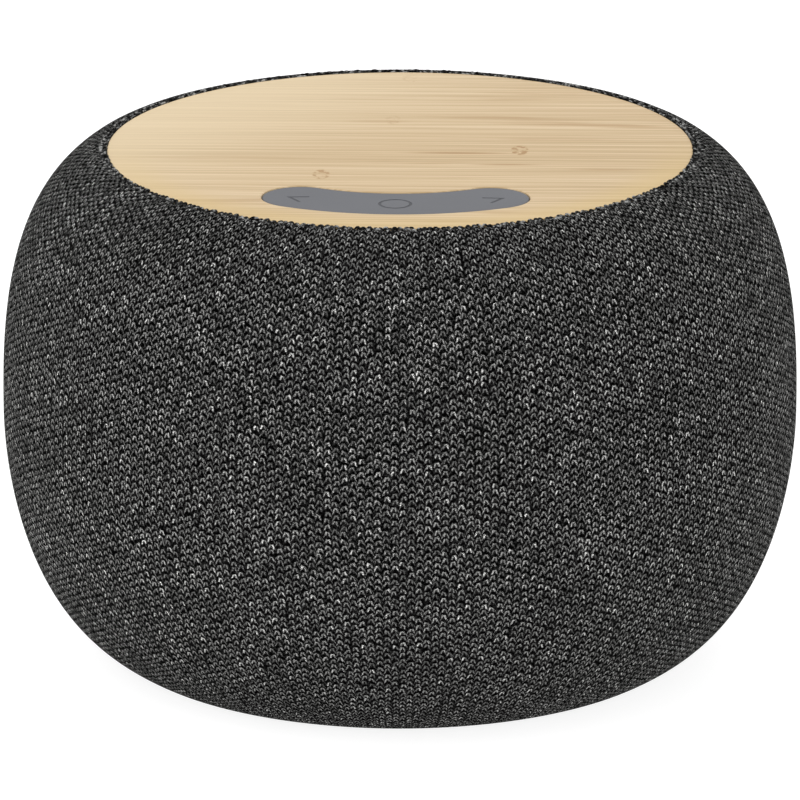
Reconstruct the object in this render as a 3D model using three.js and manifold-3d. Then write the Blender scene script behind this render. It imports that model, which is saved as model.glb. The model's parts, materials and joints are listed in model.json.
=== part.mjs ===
// A tabletop smart home hub: a knitted fabric pouf with a flat bamboo top, three rubber keys,
// a wireless charging coil, an upward-firing loudspeaker and a USB-C inlet at the back.
// Millimetres, +Z up. The origin is the centre of the rubber foot ring on the table, the front faces -Y.
import * as THREE from "three";
import { mergeVertices } from "three/addons/utils/BufferGeometryUtils.js";
import Module from "manifold-3d";

const wasm = await Module();
wasm.setup();

// ---------- Driving dimensions ----------
const FRONT = -90; // the direction the keypad faces, in degrees about +Z
const GAP = 0.3; // running gap that neighbouring pieces keep
const WALL = 2.0; // moulded walls
const FABRIC = 1.1; // sleeve thickness

// The pouf's outline: radius = BULGE.radius * (1 - share ** rise) ** (1 / round), where share is the
// distance from the widest level divided by the reach.
const BULGE = { radius: 62.5, level: 38.7 };
const ABOVE = { reach: 45.5, rise: 2.53, round: 6.0 };
const BELOW = { reach: 42.4, rise: 1.82, round: 5.53 };
const OUTLINE_HEIGHTS = [1.5, 4, 9, 17, 28, 40, 52, 62, 69, 74.5, 77.6];
const HEIGHT = 80.4;

const BAMBOO = { radius: 45.7, bottom: HEIGHT - 3.5 };
const SLEEVE = { foot: 0.7, innerFoot: 1.5, innerTop: 78.6 };
const TOP_HEM = { inner: 46.1, outer: 47.6, bottom: HEIGHT - 1.6, edge: HEIGHT - 0.4 };
const BASE_HEM = { inner: 44.6, outer: 45.2, top: 2.0, bottom: 0.5 };

const PAD = { inner: 26.1, outer: 37.8, halfAngle: 27 }; // curved rubber strip near the front rim
const KEY = { radius: 4.0, bottom: HEIGHT - 2.7, top: HEIGHT - 0.2, stem: 1.5, stemBottom: HEIGHT - 5.4 };
const MARK = { depth: 0.2, line: 0.6, ring: 2.6, arm: 2.9, armAngle: 30 };
const WEB_HOLE = KEY.radius + GAP;
const STEM_ROOM = 0.5; // radial room round a key's stem
const SKIRT = { grow: 1.5, thickness: 0.8 }; // rim of the web that the bamboo holds down

const CARRIER = { bottom: HEIGHT - 7.0, top: HEIGHT - 3.8, radius: 45.8, skin: 0.8 };
const COIL = { centreY: 8, inner: 10.5, outer: 21.5, bottom: HEIGHT - 4.9, top: HEIGHT - 3.9 };
const COIL_LEAD_HOLE = 1.2;
const SHIELD = { radius: 23.9, room: 0.4, bottom: HEIGHT - 5.7, top: HEIGHT - 5.2 };
const SWITCH = { size: 5, bottom: HEIGHT - 9.7, top: HEIGHT - 7.3, well: HEIGHT - 8.5 };
const PLUNGER = { radius: 0.9, bottom: HEIGHT - 7.8, top: HEIGHT - 5.7 };
const POST = { radius: 1.4, overlap: 1 }; // pegs under the carrier that the keypad board sits on
const KEYPAD_BOARD = { grow: 0.6, thickness: 1.2 };

const SHELL = { foot: 1.5, floorWall: 9, ceiling: 69, top: 77.6 }; // levels of the moulded walls
const SPLIT = 40; // where the two shells meet
const SPLIT_LIP = { inner: 52.5, outer: 58.6, bottom: 40.6, top: 42.4 };
const SPLIT_LEDGE = { inner: 51.5, outer: 58.9, foot: 36, shelf: 38, rim: 39.9 };
const LEDGE = { bottom: HEIGHT - 9.4, top: HEIGHT - 7.3, inner: 38 }; // carries the top module
const COLLAR = { radius: 48.3, top: HEIGHT - 2.3 };
const FLOOR = { bottom: 4.6, top: 6.6, radius: 44.8, innerRadius: 47.8 };
const SOUND_SLOTS = { count: 18, length: 20, width: 9, bottom: 50, top: 66 };
const UPPER_BOSS = { radius: 2.6, foot: 41.0, top: 47.4, holeTop: 46.0 }; // takes a shell screw
const LOWER_BOSS = { radius: 3, foot: 5.6, top: 8.3 }; // takes a base screw

const DEFLECTOR = {
  plate: LEDGE.bottom - 4.4, rim: 39.5, radius: 44.5, apex: LEDGE.bottom - 16.1,
  dome: [[0, 0], [3, 0.6], [9, 4.4], [18, 8.6], [30, 11.1], [34, 11.7]], // radius, rise over the apex
};
const CHAMBER = { radius: 48, bottom: 17, top: 48, flange: 38.3, flangeRadius: 58.4, mouth: 29.4 };
const DRIVER_FLANGE = { bottom: 49.6, top: 51.2, radius: 33 };
const BASKET = {
  outside: [[13, 36.3], [21.8, 36.3], [23.3, 39.5], [28.9, 48.0]], // radius, level
  inside: [[28.2, 51.2], [27.2, 48.6], [21.8, 40.3], [20.6, 38.1], [13, 38.1]],
  opening: { length: 14, width: 16, bottom: 41.0, top: 47.4, radius: 26, angles: [0, 90, 180, 270] },
};
const CONE = { edge: 24.9, neck: 8.2, bottom: 42.2, lip: 1.5, thickness: 0.7, slant: 0.8 };
const SURROUND = { inner: 25.0, outer: 28.5, innerLip: 1.6, outerLip: 1.4, thickness: 0.5 };
const SPIDER = { inner: 8.2, outer: 20.0, level: 39.3, thickness: 0.5, waves: 2, wave: 0.6 };
const TOP_PLATE = { inner: 7.9, outer: 19, bottom: 33.0, top: 36.0 };
const MAGNET = { inner: 10, outer: 21, bottom: 24.7, top: 32.7 };
const YOKE = { radius: 19, bottom: 21.4, top: 24.4, pole: 6.3 };
const VOICE_COIL = { inner: 6.75, outer: 7.45, bottom: 28.5, top: 44.2 };

const BASE = { radius: 44.2, bottom: 1.2, top: 4.2 };
const FOOT = { inner: 36.4, outer: 42.4, height: 2.0 };

const PORT = { level: 26, face: 59.8, width: 19, height: 10 }; // inlet at the back
const PORT_FLANGE = { near: 53.3, far: 54.8, width: 22, height: 13 };
const PLUG_RECESS = { width: 12.8, height: 6.8, depth: 1.4 };
const USB = { width: 9.0, height: 3.2, back: 53.1, backWall: 1, setback: 1.1, sheet: 0.35, room: 0.4 };
const TONGUE = { width: 6.7, thickness: 0.7, setback: 0.8 };
const PORT_BOARD = { width: 22, height: 13, thickness: 1.2, y: 52.2 };

const BOARD = { bottom: 8.6, thickness: 1.6, radius: 44, overlap: 4, steps: 24 };
const BOARD_TOP = BOARD.bottom + BOARD.thickness;
const CAN = { width: 24, depth: 16, height: 3.0, edge: 0.4, x: -14, y: 22 };
const CELL = { width: 43, depth: 27, corner: 3, cornerSteps: 4, bottom: 8.4, top: 15.0, y: -20 };
const TRAY = { width: 47, depth: 31, bottom: 6.9, top: 11, floor: 8.1 };

const LEAD_RADIUS = 0.7;
const LEAD_END = BOARD_TOP + LEAD_RADIUS + 0.1;
const DUCT_RADIUS = 51.5; // leads run between the chamber and the shells
const DUCT_NOTCH = { length: 9, width: 5 };
const LEAD_HOLE = 1.6;
const SPEAKER_LEAD_PLACE = [22, 22]; // where the lead passes the chamber's floor

// Screws, with the places they stand in.
const SCREW_HOLE = 1.5;
const SHELL_SCREW = {
  head: 2.2, headHeight: 1.6, shank: 1.2, length: 9.0,
  radius: 55.2, bottom: 34.1, angles: [30, 150, 270],
};
const CARRIER_SCREW = {
  head: 2.3, headHeight: 1.6, shank: 1.2, length: 9.2,
  radius: 42, bottom: DEFLECTOR.plate - 1.6 - GAP, angles: [45, 135, 225, 315],
};
const BASE_SCREW = {
  head: 2.2, headHeight: 1.2, shank: 1.1, length: 5.4,
  radius: 32, bottom: 1.3, headHole: 2.6, angles: [30, 150, 210, 330],
};
const DRIVER_SCREW = {
  head: 1.3, headHeight: 1.1, shank: 0.6, length: 4.9,
  radius: 31.4, hole: 1.1, angles: [45, 135, 225, 315],
};
const SOCKET = { share: 0.5, depth: 0.6, sides: 6 }; // drive socket in every screw head

const FINE = 36; // sides of the large round pieces
const ROUND = 20;
const KEY_SIDES = 24;
const SMALL = 8;

// ---------- Materials ----------
const finish = (color, roughness, metalness = 0) =>
  new THREE.MeshStandardMaterial({ color, roughness, metalness });

const KNIT = finish(0x3b3b3c, 0.95);
const BAMBOO_WOOD = finish(0xdcc5a0, 0.55);
const GREY_RUBBER = finish(0x7d7e83, 0.8);
const BLACK_RUBBER = finish(0x1c1c1d, 0.85);
const SHELL_PLASTIC = finish(0x202123, 0.6);
const WHITE_PLASTIC = finish(0xd8d7d2, 0.5);
const CIRCUIT_BOARD = finish(0x1f5a3a, 0.5);
const COPPER = finish(0xb66a3c, 0.35, 1);
const FERRITE = finish(0x2b2a2c, 0.5);
const STEEL = finish(0xa9abad, 0.35, 1);
const PAPER_CONE = finish(0x262627, 0.9);
const SPIDER_CLOTH = finish(0xb58a3e, 0.9);
const POUCH_FOIL = finish(0xb9bcc0, 0.3, 0.6);

// ---------- Geometry helpers ----------
const CUT_PAST = 2; // how far a cutting tool reaches past the face it opens
const radians = THREE.MathUtils.degToRad;
const polar = (radius, degrees) => [
  radius * Math.cos(radians(degrees)),
  radius * Math.sin(radians(degrees)),
];

// Turns a closed profile of [radius, height] points about Z, whichever way round it is listed.
function revolve(profile, sides) {
  const area = profile.reduce((sum, [r, z], i) => {
    const [nextR, nextZ] = profile[(i + 1) % profile.length];
    return sum + r * nextZ - nextR * z;
  }, 0);
  const ordered = area > 0 ? profile : [...profile].reverse();
  const onAxis = ordered[0][0] === 0 && ordered.at(-1)[0] === 0;
  const closed = onAxis ? ordered : [...ordered, ordered[0]];
  const points = closed.map(([r, z]) => new THREE.Vector2(r, z));
  return new THREE.LatheGeometry(points, sides).rotateX(Math.PI / 2);
}

const disc = (radius, bottom, top, sides) =>
  revolve([[0, bottom], [radius, bottom], [radius, top], [0, top]], sides);

const ring = (inner, outer, bottom, top, sides) =>
  revolve([[inner, bottom], [outer, bottom], [outer, top], [inner, top]], sides);

const ringOf = ({ inner, outer, bottom, top }) => ring(inner, outer, bottom, top, ROUND);

const block = (width, depth, bottom, top) =>
  new THREE.BoxGeometry(width, depth, top - bottom).translate(0, 0, (bottom + top) / 2);

const plate = (shape, bottom, top, curveSegments = 8) =>
  new THREE.ExtrudeGeometry(shape, { depth: top - bottom, bevelEnabled: false, curveSegments })
    .translate(0, 0, bottom);

// Stands a plate of the XZ plane between two distances from the axis, at the inlet's level.
const inletPlate = (shape, near, far) =>
  plate(shape, near, far, 5).rotateX(-Math.PI / 2).translate(0, 0, PORT.level);

function solidOf(geometry) {
  const bare = geometry.clone();
  bare.deleteAttribute("normal");
  bare.deleteAttribute("uv");
  const merged = mergeVertices(bare, 1e-4);
  const vertProperties = merged.attributes.position.array;
  const triVerts = Uint32Array.from(merged.index.array);
  return new wasm.Manifold(new wasm.Mesh({ numProp: 3, vertProperties, triVerts }));
}

function geometryOf(solid) {
  const { vertProperties, triVerts } = solid.getMesh();
  const geometry = new THREE.BufferGeometry();
  geometry.setAttribute("position", new THREE.BufferAttribute(vertProperties, 3));
  geometry.setIndex(new THREE.BufferAttribute(triVerts, 1));
  return geometry;
}

const join = (first, ...others) =>
  geometryOf(others.reduce((solid, other) => solid.add(solidOf(other)), solidOf(first)));

const cut = (body, ...tools) =>
  geometryOf(tools.reduce((solid, tool) => solid.subtract(solidOf(tool)), solidOf(body)));

const placed = (geometry, x, y, z = 0) => geometry.clone().translate(x, y, z);

const around = (geometry, radius, angles) =>
  angles.map((degrees) => placed(geometry, ...polar(radius, degrees)));

const alongScrews = (geometry, screws) => around(geometry, screws.radius, screws.angles);

function piece(name, geometry, material) {
  const mesh = new THREE.Mesh(geometry, material);
  mesh.name = name;
  return mesh;
}

function group(...pieces) {
  const holder = new THREE.Group();
  holder.add(...pieces);
  return holder;
}

// ---------- Outlines ----------
function bulgeRadius(z) {
  const side = z > BULGE.level ? ABOVE : BELOW;
  const share = Math.abs(z - BULGE.level) / side.reach;
  return BULGE.radius * (1 - share ** side.rise) ** (1 / side.round);
}

// A point on the pouf's outline at a height, moved inwards along the outline's normal.
function bulgePoint(z, inset = 0) {
  const step = 0.01;
  const slope = (bulgeRadius(z + step) - bulgeRadius(z - step)) / (2 * step);
  const length = Math.hypot(1, slope);
  return [bulgeRadius(z) - inset / length, z + (inset * slope) / length];
}

// The outline between two heights. Every wall has its points at the same heights, so nested walls
// stay parallel.
function bulge(low, high, inset) {
  const between = OUTLINE_HEIGHTS.filter((z) => z > low && z < high);
  return [low, ...between, high].map((z) => bulgePoint(z, inset));
}

// The curved strip in plan: a stretch of a ring with round ends, centred on the front.
function stripShape(grow = 0) {
  const middle = (PAD.inner + PAD.outer) / 2;
  const cap = (PAD.outer - PAD.inner) / 2 + grow;
  const start = radians(FRONT - PAD.halfAngle);
  const end = radians(FRONT + PAD.halfAngle);
  const [capX, capY] = polar(middle, FRONT + PAD.halfAngle);
  return new THREE.Shape()
    .absarc(0, 0, PAD.outer + grow, start, end, false)
    .absarc(capX, capY, cap, end, end + Math.PI, false)
    .absarc(0, 0, PAD.inner - grow, end, start, true)
    .absarc(-capX, capY, cap, start + Math.PI, start + 2 * Math.PI, false);
}

// An oval with straight top and bottom and half-round ends.
function ovalShape(width, height) {
  const radius = height / 2;
  const reach = width / 2 - radius;
  return new THREE.Shape()
    .absarc(reach, 0, radius, -Math.PI / 2, Math.PI / 2, false)
    .absarc(-reach, 0, radius, Math.PI / 2, Math.PI * 1.5, false);
}

function roundedShape(width, depth, corner) {
  const x = width / 2 - corner;
  const y = depth / 2 - corner;
  return new THREE.Shape()
    .absarc(x, y, corner, 0, Math.PI / 2, false)
    .absarc(-x, y, corner, Math.PI / 2, Math.PI, false)
    .absarc(-x, -y, corner, Math.PI, Math.PI * 1.5, false)
    .absarc(x, -y, corner, Math.PI * 1.5, Math.PI * 2, false);
}

// ---------- Fasteners and leads ----------
// A pan-head screw that points up from its head's underside, with a drive socket in the head.
function screwSolid({ head, headHeight, shank, length }) {
  const body = revolve([
    [0, 0],
    [head, 0],
    [head, headHeight],
    [shank, headHeight],
    [shank, headHeight + length],
    [0, headHeight + length],
  ], SMALL);
  return cut(body, disc(head * SOCKET.share, -CUT_PAST, SOCKET.depth, SOCKET.sides));
}

function screws(name, size, solid, z) {
  return size.angles.map((degrees, i) => {
    const mesh = piece(`${name}_${i + 1}`, solid, STEEL);
    mesh.position.set(...polar(size.radius, degrees), z);
    return mesh;
  });
}

function lead(name, radius, points) {
  const path = new THREE.CatmullRomCurve3(points.map((p) => new THREE.Vector3(...p)));
  const section = new THREE.Shape().absarc(0, 0, radius, 0, 2 * Math.PI, false);
  const settings = {
    steps: points.length * 2,
    curveSegments: 3,
    bevelEnabled: false,
    extrudePath: path,
  };
  return piece(name, new THREE.ExtrudeGeometry(section, settings), BLACK_RUBBER);
}

// ---------- Fabric sleeve and shells ----------
const SHELL_INSET = FABRIC + GAP;

// The opening round the inlet, through the sleeve and the lower shell.
function inletWindow() {
  const opening = ovalShape(PORT.width + 2 * GAP, PORT.height + 2 * GAP);
  return inletPlate(opening, PORT_FLANGE.far - WALL * 2, BULGE.radius + CUT_PAST);
}

function fabricSleeve() {
  const outside = bulge(SLEEVE.foot, TOP_HEM.edge, 0);
  const inside = bulge(SLEEVE.innerFoot, SLEEVE.innerTop, FABRIC).reverse();
  const topHem = [
    [TOP_HEM.outer, HEIGHT],
    [TOP_HEM.inner + GAP, HEIGHT],
    [TOP_HEM.inner, TOP_HEM.edge],
    [TOP_HEM.inner, TOP_HEM.bottom],
    [TOP_HEM.outer, TOP_HEM.bottom],
  ];
  const baseHem = [
    [BASE_HEM.inner, BASE_HEM.top],
    [BASE_HEM.inner, BASE_HEM.bottom + GAP],
    [BASE_HEM.outer, BASE_HEM.bottom],
  ];
  return cut(revolve([...outside, ...topHem, ...inside, ...baseHem], FINE), inletWindow());
}

function upperShell() {
  const outside = bulge(SPLIT + GAP, SHELL.top, SHELL_INSET);
  const inside = bulge(SPLIT_LIP.top, SHELL.ceiling, SHELL_INSET + WALL).reverse();
  const collar = [
    [COLLAR.radius, COLLAR.top],
    [TOP_HEM.inner, COLLAR.top],
    [TOP_HEM.inner, LEDGE.top],
    [LEDGE.inner, LEDGE.top],
    [LEDGE.inner, LEDGE.bottom],
    [inside[0][0], LEDGE.bottom],
  ];
  const lip = [
    [SPLIT_LIP.inner, SPLIT_LIP.top],
    [SPLIT_LIP.inner, SPLIT_LIP.bottom],
    [SPLIT_LIP.outer, SPLIT_LIP.bottom],
  ];
  const body = revolve([...outside, ...collar, ...inside, ...lip], FINE);
  const { count, length, width, bottom, top } = SOUND_SLOTS;
  const slot = placed(block(length, width, bottom, top), BULGE.radius - WALL, 0);
  const slots = Array.from({ length: count }, (_, i) =>
    slot.clone().rotateZ(((i + 0.5) * 2 * Math.PI) / count),
  );
  const boss = disc(UPPER_BOSS.radius, UPPER_BOSS.foot, UPPER_BOSS.top, SMALL);
  const bossHole = disc(SCREW_HOLE, SPLIT - CUT_PAST, UPPER_BOSS.holeTop, SMALL);
  const ledgeHole = disc(SCREW_HOLE, LEDGE.bottom - CUT_PAST, LEDGE.top + CUT_PAST, SMALL);
  return cut(
    join(body, ...alongScrews(boss, SHELL_SCREW)),
    ...slots,
    ...alongScrews(bossHole, SHELL_SCREW),
    ...alongScrews(ledgeHole, CARRIER_SCREW),
  );
}

function lowerShell() {
  const { inner, outer, foot, shelf, rim } = SPLIT_LEDGE;
  const outside = bulge(SHELL.foot, rim, SHELL_INSET);
  const inside = bulge(SHELL.floorWall, foot, SHELL_INSET + WALL).reverse();
  const ledge = [[outer, rim], [outer, shelf], [inner, shelf], [inner, foot]];
  const floorAbove = [[FLOOR.innerRadius, FLOOR.top], [0, FLOOR.top]];
  const floorBelow = [[0, FLOOR.bottom], [FLOOR.radius, FLOOR.bottom]];
  const profile = [...floorBelow, ...outside, ...ledge, ...inside, ...floorAbove];
  const boss = disc(LOWER_BOSS.radius, LOWER_BOSS.foot, LOWER_BOSS.top, SMALL);
  const bossHole = disc(SCREW_HOLE, FLOOR.bottom - CUT_PAST, LOWER_BOSS.top + CUT_PAST, SMALL);
  const ledgeHole = disc(SCREW_HOLE, foot - CUT_PAST, SPLIT, SMALL);
  const leadHole = block(DUCT_NOTCH.length, DUCT_NOTCH.width, foot - CUT_PAST, SPLIT);
  return cut(
    join(revolve(profile, FINE), ...alongScrews(boss, BASE_SCREW)),
    ...alongScrews(bossHole, BASE_SCREW),
    ...alongScrews(ledgeHole, SHELL_SCREW),
    ...around(leadHole, DUCT_RADIUS, [0, 180]),
    inletWindow(),
  );
}

function shells() {
  return group(
    piece("fabric_sleeve", fabricSleeve(), KNIT),
    piece("upper_shell", upperShell(), SHELL_PLASTIC),
    piece("lower_shell", lowerShell(), SHELL_PLASTIC),
    ...screws("shell_screw", SHELL_SCREW, screwSolid(SHELL_SCREW), SHELL_SCREW.bottom),
  );
}

// ---------- Top: bamboo, keypad, charging coil ----------
const KEY_NAMES = ["previous", "play", "next"];
const KEY_ANGLES = [-PAD.halfAngle, 0, PAD.halfAngle].map((offset) => FRONT + offset);
const KEY_CIRCLE = (PAD.inner + PAD.outer) / 2;

// Grooves for the marks: a ring in the middle key, and an arrowhead of two arms in the outer ones.
function ringMark() {
  const { ring: outer, line, depth } = MARK;
  return ring(outer - line, outer, KEY.top - depth, KEY.top + CUT_PAST, KEY_SIDES);
}

function arrowMark(side) {
  const arm = block(MARK.arm, MARK.line, KEY.top - MARK.depth, KEY.top + CUT_PAST)
    .translate(-MARK.arm / 2 + MARK.line / 2, 0, 0);
  const arms = [-MARK.armAngle, MARK.armAngle].map((degrees) =>
    arm.clone().rotateZ(radians(degrees)).translate(MARK.arm / 2, 0, 0),
  );
  const turn = side > 0 ? PAD.halfAngle : 180 - PAD.halfAngle;
  return join(...arms).rotateZ(radians(turn));
}

function keyMoulding(mark) {
  const profile = [
    [0, KEY.stemBottom],
    [KEY.stem, KEY.stemBottom],
    [KEY.stem, KEY.bottom],
    [KEY.radius, KEY.bottom],
    [KEY.radius, KEY.top],
    [0, KEY.top],
  ];
  return cut(revolve(profile, KEY_SIDES), mark);
}

function bambooTop() {
  const board = disc(BAMBOO.radius, BAMBOO.bottom, HEIGHT, FINE);
  return cut(board, plate(stripShape(GAP / 2), BAMBOO.bottom - CUT_PAST, HEIGHT + CUT_PAST));
}

function keypadWeb() {
  const skirt = plate(stripShape(SKIRT.grow), CARRIER.top - SKIRT.thickness, CARRIER.top);
  const raised = plate(stripShape(-GAP / 2), CARRIER.top - SKIRT.thickness / 2, KEY.top);
  const hole = disc(WEB_HOLE, CARRIER.bottom, HEIGHT + CUT_PAST, KEY_SIDES);
  return cut(join(skirt, raised), ...around(hole, KEY_CIRCLE, KEY_ANGLES));
}

function topCarrier() {
  const above = HEIGHT; // pockets are open upwards
  const below = SWITCH.bottom - CUT_PAST;
  const body = disc(CARRIER.radius, CARRIER.bottom, CARRIER.top, FINE);
  const coilPocket = disc(SHIELD.radius + SHIELD.room, SHIELD.bottom - GAP, above, ROUND);
  const skirtPocket = plate(stripShape(SKIRT.grow + GAP), CARRIER.top - SKIRT.thickness - GAP, above);
  const stemHole = disc(KEY.stem + STEM_ROOM, below, above, SMALL);
  const screwHole = disc(SCREW_HOLE, below, CARRIER.top - CARRIER.skin, SMALL);
  const coilLeadHole = disc(COIL_LEAD_HOLE, below, above, SMALL);
  const post = disc(POST.radius, SWITCH.bottom, CARRIER.bottom + POST.overlap, SMALL);
  const postAngles = [FRONT - PAD.halfAngle / 2, FRONT + PAD.halfAngle / 2];
  return cut(
    join(body, ...around(post, KEY_CIRCLE, postAngles)),
    placed(coilPocket, 0, COIL.centreY),
    skirtPocket,
    ...around(stemHole, KEY_CIRCLE, KEY_ANGLES),
    ...alongScrews(screwHole, CARRIER_SCREW),
    placed(coilLeadHole, COIL.outer, COIL.centreY),
  );
}

function switchBody() {
  const body = block(SWITCH.size, SWITCH.size, SWITCH.bottom, SWITCH.top);
  return cut(body, disc(PLUNGER.radius + GAP, SWITCH.well, SWITCH.top + CUT_PAST, SMALL));
}

// The deflector spreads the upward sound sideways, out through the slots of the upper shell.
function acousticDeflector() {
  const { plate: low, rim, radius, apex, dome } = DEFLECTOR;
  const top = LEDGE.bottom - GAP;
  const profile = [
    ...dome.map(([r, rise]) => [r, apex + rise]),
    [radius, low],
    [radius, top],
    [rim, top],
    [rim, low + WALL],
    [0, low + WALL],
  ];
  const hole = disc(SCREW_HOLE, low - CUT_PAST, top + CUT_PAST, SMALL);
  const notch = block(DUCT_NOTCH.length, DUCT_NOTCH.width, low + WALL, top + CUT_PAST);
  return cut(
    revolve(profile, ROUND),
    ...alongScrews(hole, CARRIER_SCREW),
    ...around(notch, CARRIER_SCREW.radius, [0, 180]),
  );
}

function keypadBoard() {
  const top = SWITCH.bottom - GAP;
  return plate(stripShape(KEYPAD_BOARD.grow), top - KEYPAD_BOARD.thickness, top);
}

function keys() {
  const marks = [arrowMark(-1), ringMark(), arrowMark(1)];
  const plungerSolid = disc(PLUNGER.radius, PLUNGER.bottom, PLUNGER.top, SMALL);
  return KEY_ANGLES.flatMap((degrees, i) => {
    const meshes = [
      piece(`key_${KEY_NAMES[i]}`, keyMoulding(marks[i]), GREY_RUBBER),
      piece(`switch_plunger_${KEY_NAMES[i]}`, plungerSolid, WHITE_PLASTIC),
      piece(`switch_${KEY_NAMES[i]}`, switchBody(), SHELL_PLASTIC),
    ];
    meshes.forEach((mesh) => mesh.position.set(...polar(KEY_CIRCLE, degrees), 0));
    return meshes;
  });
}

function chargingCoil() {
  const module = group(
    piece("charging_coil", ringOf(COIL), COPPER),
    piece("ferrite_shield", disc(SHIELD.radius, SHIELD.bottom, SHIELD.top, ROUND), FERRITE),
  );
  module.position.y = COIL.centreY;
  return module;
}

function topModule() {
  return group(
    piece("bamboo_top", bambooTop(), BAMBOO_WOOD),
    piece("keypad_web", keypadWeb(), GREY_RUBBER),
    piece("top_carrier", topCarrier(), WHITE_PLASTIC),
    piece("keypad_board", keypadBoard(), CIRCUIT_BOARD),
    piece("acoustic_deflector", acousticDeflector(), SHELL_PLASTIC),
    ...keys(),
    chargingCoil(),
    ...screws("carrier_screw", CARRIER_SCREW, screwSolid(CARRIER_SCREW), CARRIER_SCREW.bottom),
  );
}

// ---------- Loudspeaker ----------
function speakerChamber() {
  const { radius, bottom, top, flange, flangeRadius, mouth } = CHAMBER;
  const profile = [
    [0, bottom],
    [radius, bottom],
    [radius, flange],
    [flangeRadius, flange],
    [flangeRadius, flange + WALL],
    [radius, flange + WALL],
    [radius, top],
    [mouth, top],
    [mouth, top - WALL],
    [radius - WALL, top - WALL],
    [radius - WALL, bottom + WALL],
    [0, bottom + WALL],
  ];
  const flangeLow = flange - CUT_PAST;
  const flangeHigh = flange + WALL + CUT_PAST;
  const flangeHole = disc(SCREW_HOLE, flangeLow, flangeHigh, SMALL);
  const ductHole = disc(LEAD_HOLE, flangeLow, flangeHigh, SMALL);
  const driverHole = disc(DRIVER_SCREW.shank + GAP, top - WALL - CUT_PAST, top + CUT_PAST, SMALL);
  const floorHole = disc(LEAD_HOLE, bottom - CUT_PAST, bottom + WALL + CUT_PAST, SMALL);
  return cut(
    revolve(profile, FINE),
    ...alongScrews(flangeHole, SHELL_SCREW),
    ...alongScrews(driverHole, DRIVER_SCREW),
    ...around(ductHole, DUCT_RADIUS, [0, 180]),
    placed(floorHole, ...SPEAKER_LEAD_PLACE),
  );
}

function driverBasket() {
  const { bottom, top, radius } = DRIVER_FLANGE;
  const { outside, inside, opening } = BASKET;
  const neck = outside.at(-1)[0];
  const profile = [...outside, [neck, bottom], [radius, bottom], [radius, top], ...inside];
  const window = block(opening.length, opening.width, opening.bottom, opening.top);
  const windows = opening.angles.map((degrees) =>
    placed(window, opening.radius, 0).rotateZ(radians(degrees)),
  );
  const hole = disc(DRIVER_SCREW.hole, bottom - CUT_PAST, top + CUT_PAST, SMALL);
  return cut(revolve(profile, ROUND), ...windows, ...alongScrews(hole, DRIVER_SCREW));
}

// A half roll between two flat lips: the suspension at the cone's edge.
function surroundProfile() {
  const { inner, outer, innerLip, outerLip, thickness } = SURROUND;
  const low = DRIVER_FLANGE.top + GAP;
  const middle = (inner + outer) / 2;
  const half = (outer - inner) / 2;
  const lipAngle = 17; // where the roll's upper face meets the lips
  const steps = 5;
  const arc = (radius, from, to) =>
    Array.from({ length: steps + 1 }, (_, i) => {
      const [x, y] = polar(radius, from + ((to - from) * i) / steps);
      return [middle + x, low + y];
    });
  return [
    [inner - innerLip, low],
    ...arc(half, 180, 0),
    [outer + outerLip, low],
    [outer + outerLip, low + thickness],
    ...arc(half + thickness, lipAngle, 180 - lipAngle),
    [inner - innerLip, low + thickness],
  ];
}

// A cloth disc with round corrugations that centres the voice coil.
function spiderProfile() {
  const { inner, outer, level, thickness, waves, wave } = SPIDER;
  const steps = 8;
  const lower = Array.from({ length: steps + 1 }, (_, i) => {
    const share = i / steps;
    const lift = Math.sin(2 * Math.PI * waves * share) * wave;
    return [inner + (outer - inner) * share, level + lift];
  });
  return [...lower, ...lower.map(([r, z]) => [r, z + thickness]).reverse()];
}

function coneProfile() {
  const { edge, neck, bottom, lip, thickness, slant } = CONE;
  const top = DRIVER_FLANGE.top;
  return [
    [neck, bottom],
    [edge, top - thickness],
    [edge, top],
    [edge - lip, top],
    [neck, bottom + slant],
  ];
}

function yokeProfile() {
  const { radius, bottom, top, pole } = YOKE;
  const poleTop = TOP_PLATE.top;
  return [[0, bottom], [radius, bottom], [radius, top], [pole, top], [pole, poleTop], [0, poleTop]];
}

const DUST_CAP_PROFILE = [
  [0, 47.6],
  [5, 46.9],
  [9.6, 44.4],
  [10.4, 44.5],
  [5.4, 47.5],
  [0, 48.2],
];

function driverGasket() {
  const low = CHAMBER.top + GAP;
  const high = DRIVER_FLANGE.bottom - GAP;
  const seal = ring(CHAMBER.mouth + 0.2, DRIVER_FLANGE.radius, low, high, ROUND);
  const hole = disc(DRIVER_SCREW.hole, low - CUT_PAST, high + CUT_PAST, SMALL);
  return cut(seal, ...alongScrews(hole, DRIVER_SCREW));
}

// These screws point down through the basket's rim into the chamber.
function driverScrews() {
  const headTop = DRIVER_FLANGE.top + GAP + DRIVER_SCREW.headHeight;
  const solid = screwSolid(DRIVER_SCREW).rotateX(Math.PI);
  return screws("driver_screw", DRIVER_SCREW, solid, headTop);
}

function driver() {
  return group(
    piece("speaker_chamber", speakerChamber(), SHELL_PLASTIC),
    piece("driver_gasket", driverGasket(), BLACK_RUBBER),
    piece("driver_basket", driverBasket(), SHELL_PLASTIC),
    piece("driver_top_plate", ringOf(TOP_PLATE), STEEL),
    piece("driver_magnet", ringOf(MAGNET), FERRITE),
    piece("driver_yoke", revolve(yokeProfile(), ROUND), STEEL),
    piece("driver_voice_coil", ringOf(VOICE_COIL), COPPER),
    piece("driver_spider", revolve(spiderProfile(), ROUND), SPIDER_CLOTH),
    piece("driver_cone", revolve(coneProfile(), ROUND), PAPER_CONE),
    piece("driver_surround", revolve(surroundProfile(), ROUND), BLACK_RUBBER),
    piece("driver_dust_cap", revolve(DUST_CAP_PROFILE, ROUND), PAPER_CONE),
    ...driverScrews(),
  );
}

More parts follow.
